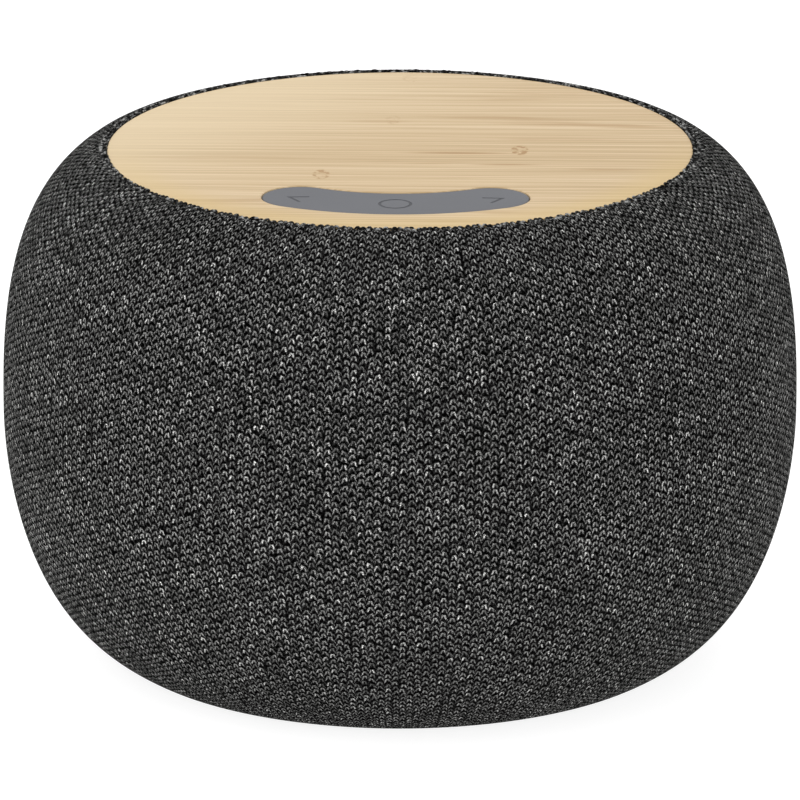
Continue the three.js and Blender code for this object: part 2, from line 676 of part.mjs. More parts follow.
// ---------- Base ----------
function basePlate() {
  const { radius, bottom, top } = BASE;
  const groove = FOOT.height + GAP;
  const profile = [
    [0, bottom],
    [FOOT.inner - GAP, bottom],
    [FOOT.inner - GAP, groove],
    [FOOT.outer + GAP, groove],
    [FOOT.outer + GAP, bottom],
    [radius, bottom],
    [radius, top],
    [0, top],
  ];
  const headRoom = BASE_SCREW.bottom + BASE_SCREW.headHeight + GAP;
  const shankHole = disc(SCREW_HOLE, bottom - CUT_PAST, top + CUT_PAST, SMALL);
  const headHole = disc(BASE_SCREW.headHole, bottom - CUT_PAST, headRoom, SMALL);
  return cut(
    revolve(profile, FINE),
    ...alongScrews(shankHole, BASE_SCREW),
    ...alongScrews(headHole, BASE_SCREW),
  );
}

function base() {
  return group(
    piece("base_plate", basePlate(), SHELL_PLASTIC),
    piece("foot_ring", ring(FOOT.inner, FOOT.outer, 0, FOOT.height, FINE), BLACK_RUBBER),
    ...screws("base_screw", BASE_SCREW, screwSolid(BASE_SCREW), BASE_SCREW.bottom),
  );
}

// ---------- Inlet ----------
function portPlate() {
  const { near, far, width, height } = PORT_FLANGE;
  const { face } = PORT;
  const body = inletPlate(ovalShape(PORT.width, PORT.height), (near + far) / 2, face);
  const flange = inletPlate(ovalShape(width, height), near, far);
  const slotShape = ovalShape(USB.width + 2 * USB.room, USB.height + 2 * USB.room);
  const slot = inletPlate(slotShape, near - CUT_PAST, face + CUT_PAST);
  const recessShape = ovalShape(PLUG_RECESS.width, PLUG_RECESS.height);
  const plugRecess = inletPlate(recessShape, face - PLUG_RECESS.depth, face + CUT_PAST);
  return cut(join(body, flange), slot, plugRecess);
}

function inlet() {
  const { width, height, back, backWall, sheet } = USB;
  const mouth = PORT.face - USB.setback;
  const can = inletPlate(ovalShape(width, height), back, mouth);
  const cavityShape = ovalShape(width - 2 * sheet, height - 2 * sheet);
  const cavity = inletPlate(cavityShape, back + backWall, mouth + CUT_PAST);
  const tongueShape = ovalShape(TONGUE.width, TONGUE.thickness);
  const tongue = inletPlate(tongueShape, back + backWall + GAP, mouth - TONGUE.setback);
  const boardBottom = PORT.level - PORT_BOARD.height / 2;
  const boardTop = PORT.level + PORT_BOARD.height / 2;
  const board = block(PORT_BOARD.width, PORT_BOARD.thickness, boardBottom, boardTop);
  return group(
    piece("port_plate", portPlate(), SHELL_PLASTIC),
    piece("usb_c_shell", cut(can, cavity), STEEL),
    piece("usb_c_tongue", tongue, SHELL_PLASTIC),
    piece("port_board", placed(board, 0, PORT_BOARD.y), CIRCUIT_BOARD),
  );
}

// ---------- Electronics ----------
// A half disc at the back, a little more than half a turn so that its front edge clears the cell.
function mainBoard() {
  const { radius, bottom, overlap } = BOARD;
  const outline = new THREE.Shape().absarc(0, 0, radius, radians(-overlap), radians(180 + overlap), false);
  return plate(outline, bottom, BOARD_TOP, BOARD.steps);
}

function shieldCan() {
  const { width, depth, height, edge, x, y } = CAN;
  const outline = new THREE.Shape()
    .moveTo(-width / 2, -depth / 2)
    .lineTo(width / 2, -depth / 2)
    .lineTo(width / 2, depth / 2)
    .lineTo(-width / 2, depth / 2);
  const can = new THREE.ExtrudeGeometry(outline, {
    depth: height - 2 * edge,
    bevelThickness: edge,
    bevelSize: edge,
    bevelOffset: -edge,
    bevelSegments: 1,
  });
  return can.translate(x, y, BOARD_TOP + GAP + edge);
}

function batteryTray() {
  const { width, depth, bottom, top, floor } = TRAY;
  const wall = floor - bottom;
  const pocket = block(width - 2 * wall, depth - 2 * wall, floor, top + CUT_PAST);
  return placed(cut(block(width, depth, bottom, top), pocket), 0, CELL.y);
}

function batteryCell() {
  const { width, depth, corner, cornerSteps, bottom, top, y } = CELL;
  return placed(plate(roundedShape(width, depth, corner), bottom, top, cornerSteps), 0, y);
}

const SHELF = LEDGE.bottom - 1.3; // level of the leads where they cross the deflector's rim

// A lead that drops from the top module to the main board between the chamber and the shells.
function ductLead(name, side, start) {
  const route = [
    [38.5, -1.5, SHELF],
    [42, 0, SHELF],
    [46.5, 0, SHELF - 0.3],
    [50.3, 0, SHELF - 2.8],
    [DUCT_RADIUS, 0, 61],
    [DUCT_RADIUS, 0, 42],
    [DUCT_RADIUS, 0, 30],
    [DUCT_RADIUS, 0, 21],
    [49.5, 0.5, 15.8],
    [43, 2.5, 13.8],
    [37, 4, 12.4],
    [36, 4.5, LEAD_END],
  ];
  return lead(name, LEAD_RADIUS, [...start, ...route.map(([x, y, z]) => [side * x, y, z])]);
}

function leads() {
  const keypadStart = [[-22.5, -23, SHELF + 0.3], [-29, -14, SHELF + 0.3]];
  const chargerStart = [[24, 4, SHELF + 2.3], [31, 0.5, SHELF + 1.3]];
  const [floorX, floorY] = SPEAKER_LEAD_PLACE;
  const speakerRoute = [
    [21.6, 15.6, 42],
    [24, 17.5, 36],
    [25.5, 19, 28],
    [23.5, 21, 21.5],
    [floorX, floorY, 18],
    [floorX, floorY, 14],
    [floorX - 1, floorY, LEAD_END],
  ];
  const batteryRoute = [[10, -4.8, 13.6], [10, -2.4, 14.4], [10, 1.6, 13.4], [10, 3.6, LEAD_END]];
  const portRoute = [[6, 51.6, 19.0], [6, 50.4, 15.4], [6, 44.5, 13.6], [6, 40, LEAD_END]];
  return [
    ductLead("keypad_lead", -1, keypadStart),
    ductLead("charging_lead", 1, chargerStart),
    lead("speaker_lead", LEAD_RADIUS, speakerRoute),
    lead("battery_lead", LEAD_RADIUS, batteryRoute),
    lead("port_lead", LEAD_RADIUS, portRoute),
  ];
}

function electronics() {
  return group(
    piece("main_board", mainBoard(), CIRCUIT_BOARD),
    piece("rf_shield_can", shieldCan(), STEEL),
    piece("battery_tray", batteryTray(), WHITE_PLASTIC),
    piece("battery_cell", batteryCell(), POUCH_FOIL),
    ...leads(),
  );
}

const hub = group(shells(), topModule(), driver(), base(), inlet(), electronics());

export default hub;
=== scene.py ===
"""Looks of the smart home hub: knitted sleeve, bamboo top, rubber keypad and the pieces inside."""

import json
import math

import bpy
import numpy as np
from mathutils import Matrix, Vector


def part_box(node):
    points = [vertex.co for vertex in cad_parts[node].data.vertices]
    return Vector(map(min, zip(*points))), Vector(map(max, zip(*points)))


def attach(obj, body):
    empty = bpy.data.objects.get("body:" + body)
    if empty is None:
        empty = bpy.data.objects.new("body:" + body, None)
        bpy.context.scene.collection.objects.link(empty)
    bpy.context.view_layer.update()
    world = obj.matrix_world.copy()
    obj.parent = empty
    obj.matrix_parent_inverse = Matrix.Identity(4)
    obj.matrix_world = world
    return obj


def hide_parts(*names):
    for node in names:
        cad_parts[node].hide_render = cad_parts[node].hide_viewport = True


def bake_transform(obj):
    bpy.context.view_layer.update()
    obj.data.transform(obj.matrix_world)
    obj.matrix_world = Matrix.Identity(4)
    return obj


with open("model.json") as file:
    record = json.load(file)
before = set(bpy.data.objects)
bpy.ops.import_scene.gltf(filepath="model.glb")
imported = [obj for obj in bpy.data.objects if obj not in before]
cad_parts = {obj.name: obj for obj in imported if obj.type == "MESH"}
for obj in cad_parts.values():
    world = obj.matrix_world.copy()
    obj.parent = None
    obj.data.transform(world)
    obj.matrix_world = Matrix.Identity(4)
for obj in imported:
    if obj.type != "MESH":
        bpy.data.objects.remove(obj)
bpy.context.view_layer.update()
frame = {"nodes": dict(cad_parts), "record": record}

MM = 0.001
TAU = 2 * math.pi

# ---------- Sizes, in metres, from the frame where it has them ----------
sleeve_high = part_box("fabric_sleeve")[1]
bamboo_low, bamboo_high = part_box("bamboo_top")
web_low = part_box("keypad_web")[0]
port_low, port_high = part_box("port_plate")
usb_low, usb_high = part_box("usb_c_shell")
tongue_low, tongue_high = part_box("usb_c_tongue")
foot_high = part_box("foot_ring")[1]
base_low, base_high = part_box("base_plate")
coil_low, coil_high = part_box("charging_coil")

HEIGHT = bamboo_high.z
BAMBOO_RADIUS = bamboo_high.x
INLET_MIDDLE = (port_low.z + port_high.z) / 2

# The pouf's outline: radius = BULGE_RADIUS * (1 - share ** rise) ** (1 / roundness), where share is
# the distance from the widest level divided by the reach.
BULGE_RADIUS = sleeve_high.x
BULGE_LEVEL = 38.7 * MM
REACH_ABOVE, RISE_ABOVE, ROUNDNESS_ABOVE = 45.5 * MM, 2.53, 6.0
REACH_BELOW, RISE_BELOW, ROUNDNESS_BELOW = 42.4 * MM, 1.82, 5.53

# The knit: its thickness, its columns of stitches (wales) round the hub and the height of a row.
FABRIC = 1.1 * MM
WALES = 312
COURSE = 1.06 * MM

# The keypad strip: the radii of its two edges, half the angle between its end keys, and the gap
# between it and the bamboo.
PAD_INNER, PAD_OUTER, PAD_ANGLE = 26.1 * MM, 37.8 * MM, 27
PAD_MIDDLE = (PAD_INNER + PAD_OUTER) / 2
PAD_HALF_WIDTH = (PAD_OUTER - PAD_INNER) / 2
PAD_GAP = 0.12 * MM
FRONT = -90
KEYS = {"key_previous": FRONT - PAD_ANGLE, "key_play": FRONT, "key_next": FRONT + PAD_ANGLE}


# ---------- Camera and studio ----------
CAMERA_DISTANCE = 1.073
CAMERA_ELEVATION, CAMERA_TURN = math.radians(17.58), math.radians(1.3)
CAMERA_AIM = Vector((0, 0, 39.0 * MM))
LENS_MM = 305.8

WHITE = (1, 1, 1, 1)
FLOOR_RADIUS = 12


def look_at(obj, target):
    direction = Vector(target) - obj.location
    obj.rotation_euler = direction.to_track_quat("-Z", "Y").to_euler()


def make_camera():
    data = bpy.data.cameras.new("camera")
    data.lens = LENS_MM
    data.clip_end = 4 * FLOOR_RADIUS
    camera = bpy.data.objects.new("camera", data)
    bpy.context.scene.collection.objects.link(camera)
    level = Vector((math.sin(CAMERA_TURN), -math.cos(CAMERA_TURN), 0)) * math.cos(CAMERA_ELEVATION)
    outward = level + Vector((0, 0, math.sin(CAMERA_ELEVATION)))
    camera.location = CAMERA_AIM + outward * CAMERA_DISTANCE
    look_at(camera, CAMERA_AIM)
    bpy.context.scene.camera = camera


def add_area_light(name, location, side, power):
    data = bpy.data.lights.new(name, "AREA")
    data.size = side
    data.energy = power
    light = bpy.data.objects.new(name, data)
    bpy.context.scene.collection.objects.link(light)
    light.location = location
    look_at(light, (0, 0, HEIGHT / 2))


def make_studio():
    """A white surround, one soft light from the front left and a pale floor."""
    scene = bpy.context.scene
    scene.view_settings.view_transform = "Standard"
    scene.world = bpy.data.worlds.new("studio")
    scene.world.use_nodes = True
    background = scene.world.node_tree.nodes["Background"]
    background.inputs["Color"].default_value = WHITE
    background.inputs["Strength"].default_value = 1.0
    add_area_light("key_light", location=(-0.6, -0.6, 0.9), side=0.7, power=3.2)
    bpy.ops.mesh.primitive_circle_add(vertices=128, radius=FLOOR_RADIUS, fill_type="NGON")
    floor = bpy.context.object
    floor.name = "floor"
    floor.data.materials.append(floor_material())


def floor_material():
    """A pale floor that glows a little, so that it is nearly as white as the surround."""
    graph = Graph("studio_floor")
    shade = graph.noise(graph.position(), 3)
    colour = graph.ramp(shade, (0.4, (0.27, 0.27, 0.27)), (0.6, (0.29, 0.29, 0.29)))
    return graph.finish(colour, 0.6, Emission_Color=WHITE, Emission_Strength=0.87)


# ---------- Shader graphs ----------
def field_math(operation, swapped=False):
    """A method that puts the field, and the other value if there is one, into a math node."""
    def method(self, *others):
        values = (*others, self) if swapped else (self, *others)
        return self.graph.math(operation, *values)
    return method


class Field:
    """A value in a shader graph that can be added, multiplied and so on like a number."""

    def __init__(self, graph, socket):
        self.graph, self.socket = graph, socket

    __add__ = field_math("ADD")
    __radd__ = field_math("ADD", swapped=True)
    __sub__ = field_math("SUBTRACT")
    __rsub__ = field_math("SUBTRACT", swapped=True)
    __mul__ = field_math("MULTIPLY")
    __truediv__ = field_math("DIVIDE")
    __pow__ = field_math("POWER")
    floor = field_math("FLOOR")
    fract = field_math("FRACT")
    abs = field_math("ABSOLUTE")
    sqrt = field_math("SQRT")
    at_least = field_math("MAXIMUM")
    above = field_math("GREATER_THAN")

    def ease(self, low, high):
        """0 below low, 1 above high and smooth between them."""
        node = self.graph.add("ShaderNodeMapRange", interpolation_type="SMOOTHSTEP")
        self.graph.link(self, node.inputs["Value"])
        node.inputs["From Min"].default_value = low
        node.inputs["From Max"].default_value = high
        return Field(self.graph, node.outputs["Result"])


class Graph:
    """A material and short ways to make its nodes."""

    def __init__(self, name):
        self.material = bpy.data.materials.new(name)
        self.material.use_nodes = True
        self.tree = self.material.node_tree
        self.shader = self.tree.nodes["Principled BSDF"]

    def add(self, kind, **settings):
        node = self.tree.nodes.new(kind)
        for key, value in settings.items():
            setattr(node, key, value)
        return node

    def link(self, value, socket):
        if isinstance(value, Field):
            self.tree.links.new(value.socket, socket)
        else:
            socket.default_value = value

    def link_colour(self, colour, socket):
        self.link(colour if isinstance(colour, Field) else (*colour, 1), socket)

    def math(self, operation, *values):
        node = self.add("ShaderNodeMath", operation=operation)
        for value, socket in zip(values, node.inputs):
            self.link(value, socket)
        return Field(self, node.outputs[0])

    def position(self):
        return Field(self, self.add("ShaderNodeNewGeometry").outputs["Position"])

    def uv(self, name):
        return Field(self, self.add("ShaderNodeUVMap", uv_map=name).outputs["UV"])

    def split(self, vector):
        node = self.add("ShaderNodeSeparateXYZ")
        self.link(vector, node.inputs[0])
        return [Field(self, socket) for socket in node.outputs]

    def combine(self, x, y, z=0.0):
        node = self.add("ShaderNodeCombineXYZ")
        for value, socket in zip((x, y, z), node.inputs):
            self.link(value, socket)
        return Field(self, node.outputs[0])

    def scaled(self, vector, scale):
        node = self.add("ShaderNodeVectorMath", operation="MULTIPLY")
        self.link(vector, node.inputs[0])
        node.inputs[1].default_value = scale
        return Field(self, node.outputs[0])

    def noise(self, vector, scale=1.0, detail=2, roughness=0.5):
        node = self.add("ShaderNodeTexNoise")
        self.link(vector, node.inputs["Vector"])
        node.inputs["Scale"].default_value = scale
        node.inputs["Detail"].default_value = detail
        node.inputs["Roughness"].default_value = roughness
        return Field(self, node.outputs["Fac"])

    def speck(self, x, y, z=0.0):
        """A random number for each whole-number cell."""
        node = self.add("ShaderNodeTexWhiteNoise")
        self.link(self.combine(x, y, z), node.inputs["Vector"])
        return Field(self, node.outputs["Value"])

    def ramp(self, factor, *stops):
        node = self.add("ShaderNodeValToRGB")
        elements = node.color_ramp.elements
        while len(elements) < len(stops):
            elements.new(1)
        for element, (place, colour) in zip(elements, stops):
            element.position = place
            element.color = (*colour, 1)
        self.link(factor, node.inputs["Fac"])
        return Field(self, node.outputs["Color"])

    def mix(self, factor, first, second, blend="MIX"):
        node = self.add("ShaderNodeMix", data_type="RGBA", blend_type=blend)
        self.link(factor, node.inputs[0])
        self.link_colour(first, node.inputs[6])
        self.link_colour(second, node.inputs[7])
        return Field(self, node.outputs[2])

    def bump(self, height, distance, strength=1.0):
        node = self.add("ShaderNodeBump")
        self.link(height, node.inputs["Height"])
        node.inputs["Distance"].default_value = distance
        node.inputs["Strength"].default_value = strength
        return Field(self, node.outputs["Normal"])

    def finish(self, base, roughness, normal=None, **sockets):
        self.link(base, self.shader.inputs["Base Color"])
        self.link(roughness, self.shader.inputs["Roughness"])
        if normal:
            self.link(normal, self.shader.inputs["Normal"])
        for name, value in sockets.items():
            self.shader.inputs[name.replace("_", " ")].default_value = value
        return self.material


# ---------- Knit ----------
# One stitch in cells of one wale by one course: its arch reaches down to the foot at half its width.
ARCH = {"half_width": 0.23, "top": 0.24, "foot": -0.2, "stroke": 0.12, "power": 2.5}

# How far the stitches stray from an even grid, in cells.
WANDER, STRAY_ACROSS, STRAY_ALONG, STRAY_TILT = 0.4, 0.26, 0.28, 1.1

# How often the drift, the fibres and the lighter patches repeat, in times per cell.
DRIFT_RATE, FIBRE_RATE, PATCH_RATE = 0.4, 7.5, 0.12

# Numbers that keep the random draws apart.
SEED = {
    "u": 3.0, "v": 9.0, "across": 1.0, "along": 2.0, "tilt": 3.0, "stitch": 7.0, "leg": 11.0, "strand": 5.0,
}

# Courses from the base hem over which the knit brightens out of a painted shade, and how dark that painted
# shade is below them.
SHADED_COURSES, SHADE = 34.0, 0.2


def wandering(graph, u, v, seed):
    """A slow drift of the grid, the same over a few neighbouring stitches."""
    drift = graph.noise(graph.combine(u * DRIFT_RATE, v * DRIFT_RATE, seed), roughness=0.6)
    return (drift - 0.5) * WANDER


def stray(graph, cell, seed, amount):
    return (graph.speck(*cell, seed) - 0.5) * amount


def stitch_arch(across, along):
    """1 on the middle of the arch's yarn and 0 beside it, with a faint fill under the arch."""
    reach = across.abs() / ARCH["half_width"]
    rise = ARCH["top"] - ARCH["foot"]
    over = along - ARCH["top"] + reach ** ARCH["power"] * rise
    steepness = reach ** (ARCH["power"] - 1) * (ARCH["power"] * rise / ARCH["half_width"])
    distance = over.abs() / (steepness * steepness + 1.0).sqrt()
    yarn = (1.0 - distance / ARCH["stroke"]).at_least(0.0) ** 0.7
    yarn = yarn * along.ease(ARCH["foot"] - 0.2, ARCH["foot"] + 0.05)
    fill = (1.0 - over.above(0.0)) * along.ease(ARCH["foot"] - 0.1, ARCH["foot"] + 0.15)
    return yarn.at_least(fill * 0.05)


def crossing_strands(graph, u, shifted):
    """Dim slanting strands between the columns of arches, each in its own tone."""
    thickness, reach_start, reach_end = 0.18, 0.14, 0.3
    from_border = 0.5 - (u.fract() - 0.5).abs()
    strand = (shifted + 0.5 - from_border * 2.0).fract() - 0.5
    crossing = (1.0 - strand.abs() / thickness).at_least(0.0)
    crossing = crossing * (1.0 - from_border.ease(reach_start, reach_end))
    return crossing * graph.speck((u + 0.5).floor(), (shifted + 0.5).floor(), SEED["strand"])


def knit_material():
    """Half-drop knit: every cell holds one small arch of yarn over a dark gap, partly dark backing and
    partly painted shade, beside dim strands.
    """
    graph = Graph("heathered_knit")
    u, v, _ = graph.split(graph.uv("knit"))
    u = u + wandering(graph, u, v, SEED["u"])
    v = v + wandering(graph, u, v, SEED["v"])
    wale = u.floor()
    shifted = v + (wale * 0.5).fract()
    cell = (wale, shifted.floor())
    across = u.fract() - 0.5 + stray(graph, cell, SEED["across"], STRAY_ACROSS)
    along = shifted.fract() - 0.5 + stray(graph, cell, SEED["along"], STRAY_ALONG)
    along = along + across * stray(graph, cell, SEED["tilt"], STRAY_TILT)
    yarn = stitch_arch(across, along)
    stitch = graph.speck(*cell, SEED["stitch"])
    leg = graph.speck(*cell, across.above(0.0) + SEED["leg"])
    fibre = graph.noise(graph.combine(u * FIBRE_RATE, v * FIBRE_RATE), roughness=0.8)
    patch = graph.noise(graph.combine(u * PATCH_RATE, v * PATCH_RATE))
    # The near-black between the arches is partly the dark backing and partly painted shade that falls into
    # the gaps.
    backing_and_gap_shade = graph.noise(graph.combine(u * 2.4, v * 2.8, 5.0), detail=1)
    under = backing_and_gap_shade.ease(0.46, 0.66) * 0.015 + 0.001
    under = under + crossing_strands(graph, u, shifted) * 0.3
    white_fleck = leg.above(0.95) * 0.4
    tone = 0.17 + stitch * stitch * 0.25 + leg * leg * 0.5 + white_fleck
    tone = (tone * yarn + under) * fibre.ease(0.4, 0.62) * 1.72 * (patch * 0.5 + 0.75)
    # Painted shade: the knit's colour is darkened towards the base hem.
    tone = tone * (v.ease(0.0, SHADED_COURSES) * SHADE + (1.0 - SHADE))
    colour = graph.mix(1.0, (1.0, 0.995, 0.97), graph.combine(tone, tone, tone), "MULTIPLY")
    normal = graph.bump(yarn + fibre * 0.3, 0.3 * MM)
    return graph.finish(colour, 1.0, normal, Specular_IOR_Level=0.0)


def yarn_material():
    """The same yarn on the loops that bind the sleeve's top edge, in tones that change along it."""
    graph = Graph("heathered_yarn")
    where = graph.position()
    stitch = graph.noise(where, 1300, 1)
    fibre = graph.noise(where, 7000)
    tone = graph.ramp(
        stitch * 0.75 + fibre * 0.25,
        (0.42, (0.003, 0.003, 0.003)),
        (0.53, (0.05, 0.05, 0.049)),
        (0.64, (0.40, 0.40, 0.39)),
    )
    return graph.finish(tone, 0.95, graph.bump(fibre, 0.1 * MM), Specular_IOR_Level=0.08)


# ---------- Bamboo ----------
# The width of a strip of cane, and how finely hairs and fibres repeat along X, Y and Z, per metre.
LAMELLA = 6.0 * MM
HAIR_RATES = (9.0, 5200.0, 900.0)
FIBRE_RATES = (16.0, 1900.0, 400.0)
HONEY_BROWN = (0.40, 0.235, 0.095)
RIM_GOLD = (0.61, 0.44, 0.19)
# A pale straw tone for the painted light on the far left of the board.
PAINTED_LIGHT_STRAW = (0.74, 0.60, 0.39)

# The growth marks: centre, half width and strength.
GROWTH_MARKS = [
    ((18.7 * MM, -1.4 * MM), 1.0 * MM, 1.5),
    ((-11.8 * MM, -16.0 * MM), 1.0 * MM, 1.0),
    ((-1.5 * MM, 16.0 * MM), 1.0 * MM, 0.35),
    ((0.7 * MM, 42.0 * MM), 1.0 * MM, 0.5),
]

# The streaks along the grain: right-hand end, length, width and strength.
GROWTH_STREAKS = [
    ((21.0 * MM, -3.2 * MM), 24 * MM, 0.8 * MM, 1.0),
    ((24.0 * MM, -9.8 * MM), 15 * MM, 0.7 * MM, 0.6),
    ((4.0 * MM, 15.2 * MM), 16 * MM, 1.2 * MM, 0.4),
]


def growth_mark(graph, x, y, centre, size):
    """The small broken swirl that a cane's joint leaves in the board: 1 on its lines, 0 elsewhere."""
    stretch = 2.0
    frequency = 900.0
    along = (x - centre[0]) / size
    beside = (y - centre[1]) / (size * stretch)
    distance = (along * along + beside * beside).sqrt()
    broken = graph.noise(graph.combine(x * frequency, y * frequency, centre[0])).ease(0.42, 0.62)
    line = 1.0 - (distance - 1.0).abs().ease(0.1, 0.5)
    inner = 1.0 - (distance - 0.45).abs().ease(0.05, 0.35)
    return (line + inner * 0.6) * broken


def growth_streak(x, y, end, length, width):
    """A soft dark streak along the grain, strongest in its middle."""
    along = (x - end[0] + length / 2) / (length / 2)
    beside = (y - end[1]) / width
    return 1.0 - (along * along + beside * beside).sqrt().ease(0.1, 1.0)


def growth_traces(graph, x, y):
    """All growth marks and streaks together."""
    traces = 0.0
    for centre, size, strength in GROWTH_MARKS:
        traces = traces + growth_mark(graph, x, y, centre, size) * strength
    for end, length, width, strength in GROWTH_STREAKS:
        traces = traces + growth_streak(x, y, end, length, width) * strength
    return traces


def long_grain(graph, x, y, z, rates, shift, detail):
    """Noise drawn out along X, from its rates along each axis."""
    along, beside, deep = rates
    place = graph.combine(x * along + shift, y * beside, z * deep)
    return graph.noise(place, detail=detail, roughness=0.6)


def bamboo_material():
    """Laminated bamboo: fine straight fibres along X, thin darker lines, a few growth marks and painted
    light on the far left.
    """
    graph = Graph("bamboo")
    x, y, z = graph.split(graph.position())
    lamella = (y / LAMELLA + 0.35).floor()
    lamella_tone = graph.speck(lamella, 3.0)
    shift = lamella * 3.7
    hair = long_grain(graph, x, y, z, HAIR_RATES, shift, detail=2)
    fibres = long_grain(graph, x, y, z, FIBRE_RATES, shift, detail=3)
    lines = graph.noise(graph.combine(x * 11.0, y * 900.0, z * 300.0 + 5.0))
    honey = graph.noise(graph.combine(x * 22.0 + 4.0, y * 190.0, 8.0), detail=3, roughness=0.55)
    mixed = hair * 0.30 + fibres * 0.45 + lines * 0.25 + (lamella_tone - 0.5) * 0.05
    colour = graph.ramp(
        mixed,
        (0.435, (0.500, 0.355, 0.190)),
        (0.50, (0.605, 0.450, 0.262)),
        (0.565, (0.690, 0.533, 0.340)),
    )
    dark_lines = lines.ease(0.56, 0.68) * 0.34 + honey.ease(0.55, 0.72) * 0.5
    colour = graph.mix(dark_lines + growth_traces(graph, x, y), colour, HONEY_BROWN)
    front = 1.0 - y.ease(-20 * MM, 10 * MM)
    front_rim = (x * x + y * y).sqrt().ease(37 * MM, 45 * MM) * front
    colour = graph.mix(front_rim * 0.6, colour, RIM_GOLD)
    # Painted light: the far left of the board is paled towards straw as if lit more brightly.
    painted_light_left = 1.0 - (x * 0.8 - y * 0.6).ease(-50 * MM, 0.0)
    colour = graph.mix(painted_light_left * 0.75, colour, PAINTED_LIGHT_STRAW)
    normal = graph.bump(fibres + hair * 0.4, 0.03 * MM, 0.4)
    return graph.finish(colour, 0.55, normal, Specular_IOR_Level=0.3)


# ---------- Plain materials ----------
def moulded_material(name, colour, roughness, texture=0.03 * MM):
    """Moulded plastic or rubber with a fine spark-eroded texture and slight tone changes."""
    graph = Graph(name)
    where = graph.position()
    grit = graph.noise(where, 5000)
    cloud = graph.noise(where, 60, 3)
    low = tuple(c * 0.94 for c in colour)
    high = tuple(c * 1.06 for c in colour)
    tint = graph.ramp(cloud * 0.7 + grit * 0.3, (0.35, low), (0.65, high))
    rough = cloud * 0.12 + (roughness - 0.06)
    return graph.finish(tint, rough, graph.bump(grit, texture, 0.6))


def metal_material(name, colour, roughness, scratch=(900.0, 900.0, 30.0)):
    """Metal or foil with fine scratches, longest along the axis where scratch is smallest."""
    graph = Graph(name)
    brushed = graph.noise(graph.scaled(graph.position(), scratch), 4.0, 3, 0.6)
    low = tuple(c * 0.85 for c in colour)
    tint = graph.ramp(brushed, (0.35, low), (0.65, colour))
    rough = brushed * 0.25 + (roughness - 0.12)
    return graph.finish(tint, rough, graph.bump(brushed, 0.01 * MM, 0.4), Metallic=1.0)


# ---------- Mesh helpers ----------
WELD_DISTANCE = 0.001 * MM
SHARP_ANGLE = math.radians(35)

# Turns a shape drawn in the XY plane up into the XZ plane.
STAND_UP = Matrix(((1, 0, 0, 0), (0, 0, 1, 0), (0, 1, 0, 0), (0, 0, 0, 1)))


def add_mesh(name, points, faces, material, smooth=True):
    mesh = bpy.data.meshes.new(name)
    mesh.from_pydata([tuple(p) for p in points], [], faces)
    mesh.validate()
    if smooth:
        mesh.shade_smooth()
    else:
        mesh.shade_flat()
    mesh.materials.append(material)
    obj = bpy.data.objects.new(name, mesh)
    bpy.context.scene.collection.objects.link(obj)
    return obj


def apply_modifiers(obj):
    depsgraph = bpy.context.evaluated_depsgraph_get()
    mesh = bpy.data.meshes.new_from_object(obj.evaluated_get(depsgraph))
    obj.modifiers.clear()
    obj.data = mesh


def cut_away(obj, tool):
    """Subtracts the tool's mesh from the piece and removes the tool."""
    modifier = obj.modifiers.new("cut", "BOOLEAN")
    modifier.object = tool
    modifier.operation = "DIFFERENCE"
    modifier.solver = "EXACT"
    apply_modifiers(obj)
    bpy.data.objects.remove(tool)


def shade_by_angle(obj):
    obj.data.shade_smooth()
    obj.data.set_sharp_from_angle(angle=SHARP_ANGLE)


def declare(obj, node, body="root"):
    """Says which CAD piece the object stands for and what it moves with."""
    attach(obj, body)
    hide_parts(node)


def polar(radius, degrees):
    return radius * math.cos(math.radians(degrees)), radius * math.sin(math.radians(degrees))


def arc_points(centre, radius, start, end, count):
    angles = np.linspace(math.radians(start), math.radians(end), count)
    return [(centre[0] + radius * math.cos(a), centre[1] + radius * math.sin(a)) for a in angles]


def circle_points(radius, count, centre=(0, 0)):
    return arc_points(centre, radius, 0, 360, count + 1)[:-1]


def oval_points(width, height):
    radius = height / 2
    reach = width / 2 - radius
    right = arc_points((reach, 0), radius, -90, 90, 24)
    return right + arc_points((-reach, 0), radius, 90, 270, 24)


def prism(name, outline, low, high, material, upright=False):
    """A straight-sided solid over an outline. An upright one stands on the XZ plane and runs along Y."""
    count = len(outline)
    points = [(x, y, z) for z in (low, high) for x, y in outline]
    faces = [tuple(reversed(range(count))), tuple(range(count, 2 * count))]
    faces += [(i, (i + 1) % count, (i + 1) % count + count, i + count) for i in range(count)]
    if upright:
        points = [(x, depth, height) for x, height, depth in points]
        faces = [tuple(reversed(face)) for face in faces]
    return add_mesh(name, points, faces, material, smooth=False)


def lathe(name, profile, material, sides=144, sweep=360, start=0):
    """Turns a closed profile of (radius, height) points about Z, anticlockwise in the profile's plane."""
    whole = sweep == 360
    stops = sides if whole else sides + 1
    angles = np.radians(start + np.arange(stops) * sweep / sides)
    count = len(profile)
    points = [(r * math.cos(a), r * math.sin(a), z) for a in angles for r, z in profile]
    faces = []
    for i in range(sides):
        near, far = i * count, (i + 1) % stops * count
        for j in range(count):
            k = (j + 1) % count
            if profile[j][0] > 0 or profile[k][0] > 0:
                faces.append((near + j, far + j, far + k, near + k))
    if not whole:
        faces += [tuple(range(count)), tuple(reversed(range(sides * count, stops * count)))]
    obj = add_mesh(name, points, faces, material)
    weld(obj)
    shade_by_angle(obj)
    return obj


def weld(obj):
    """Joins the points that lie on each other, such as those on a lathe's axis."""
    modifier = obj.modifiers.new("weld", "WELD")
    modifier.merge_threshold = WELD_DISTANCE
    apply_modifiers(obj)


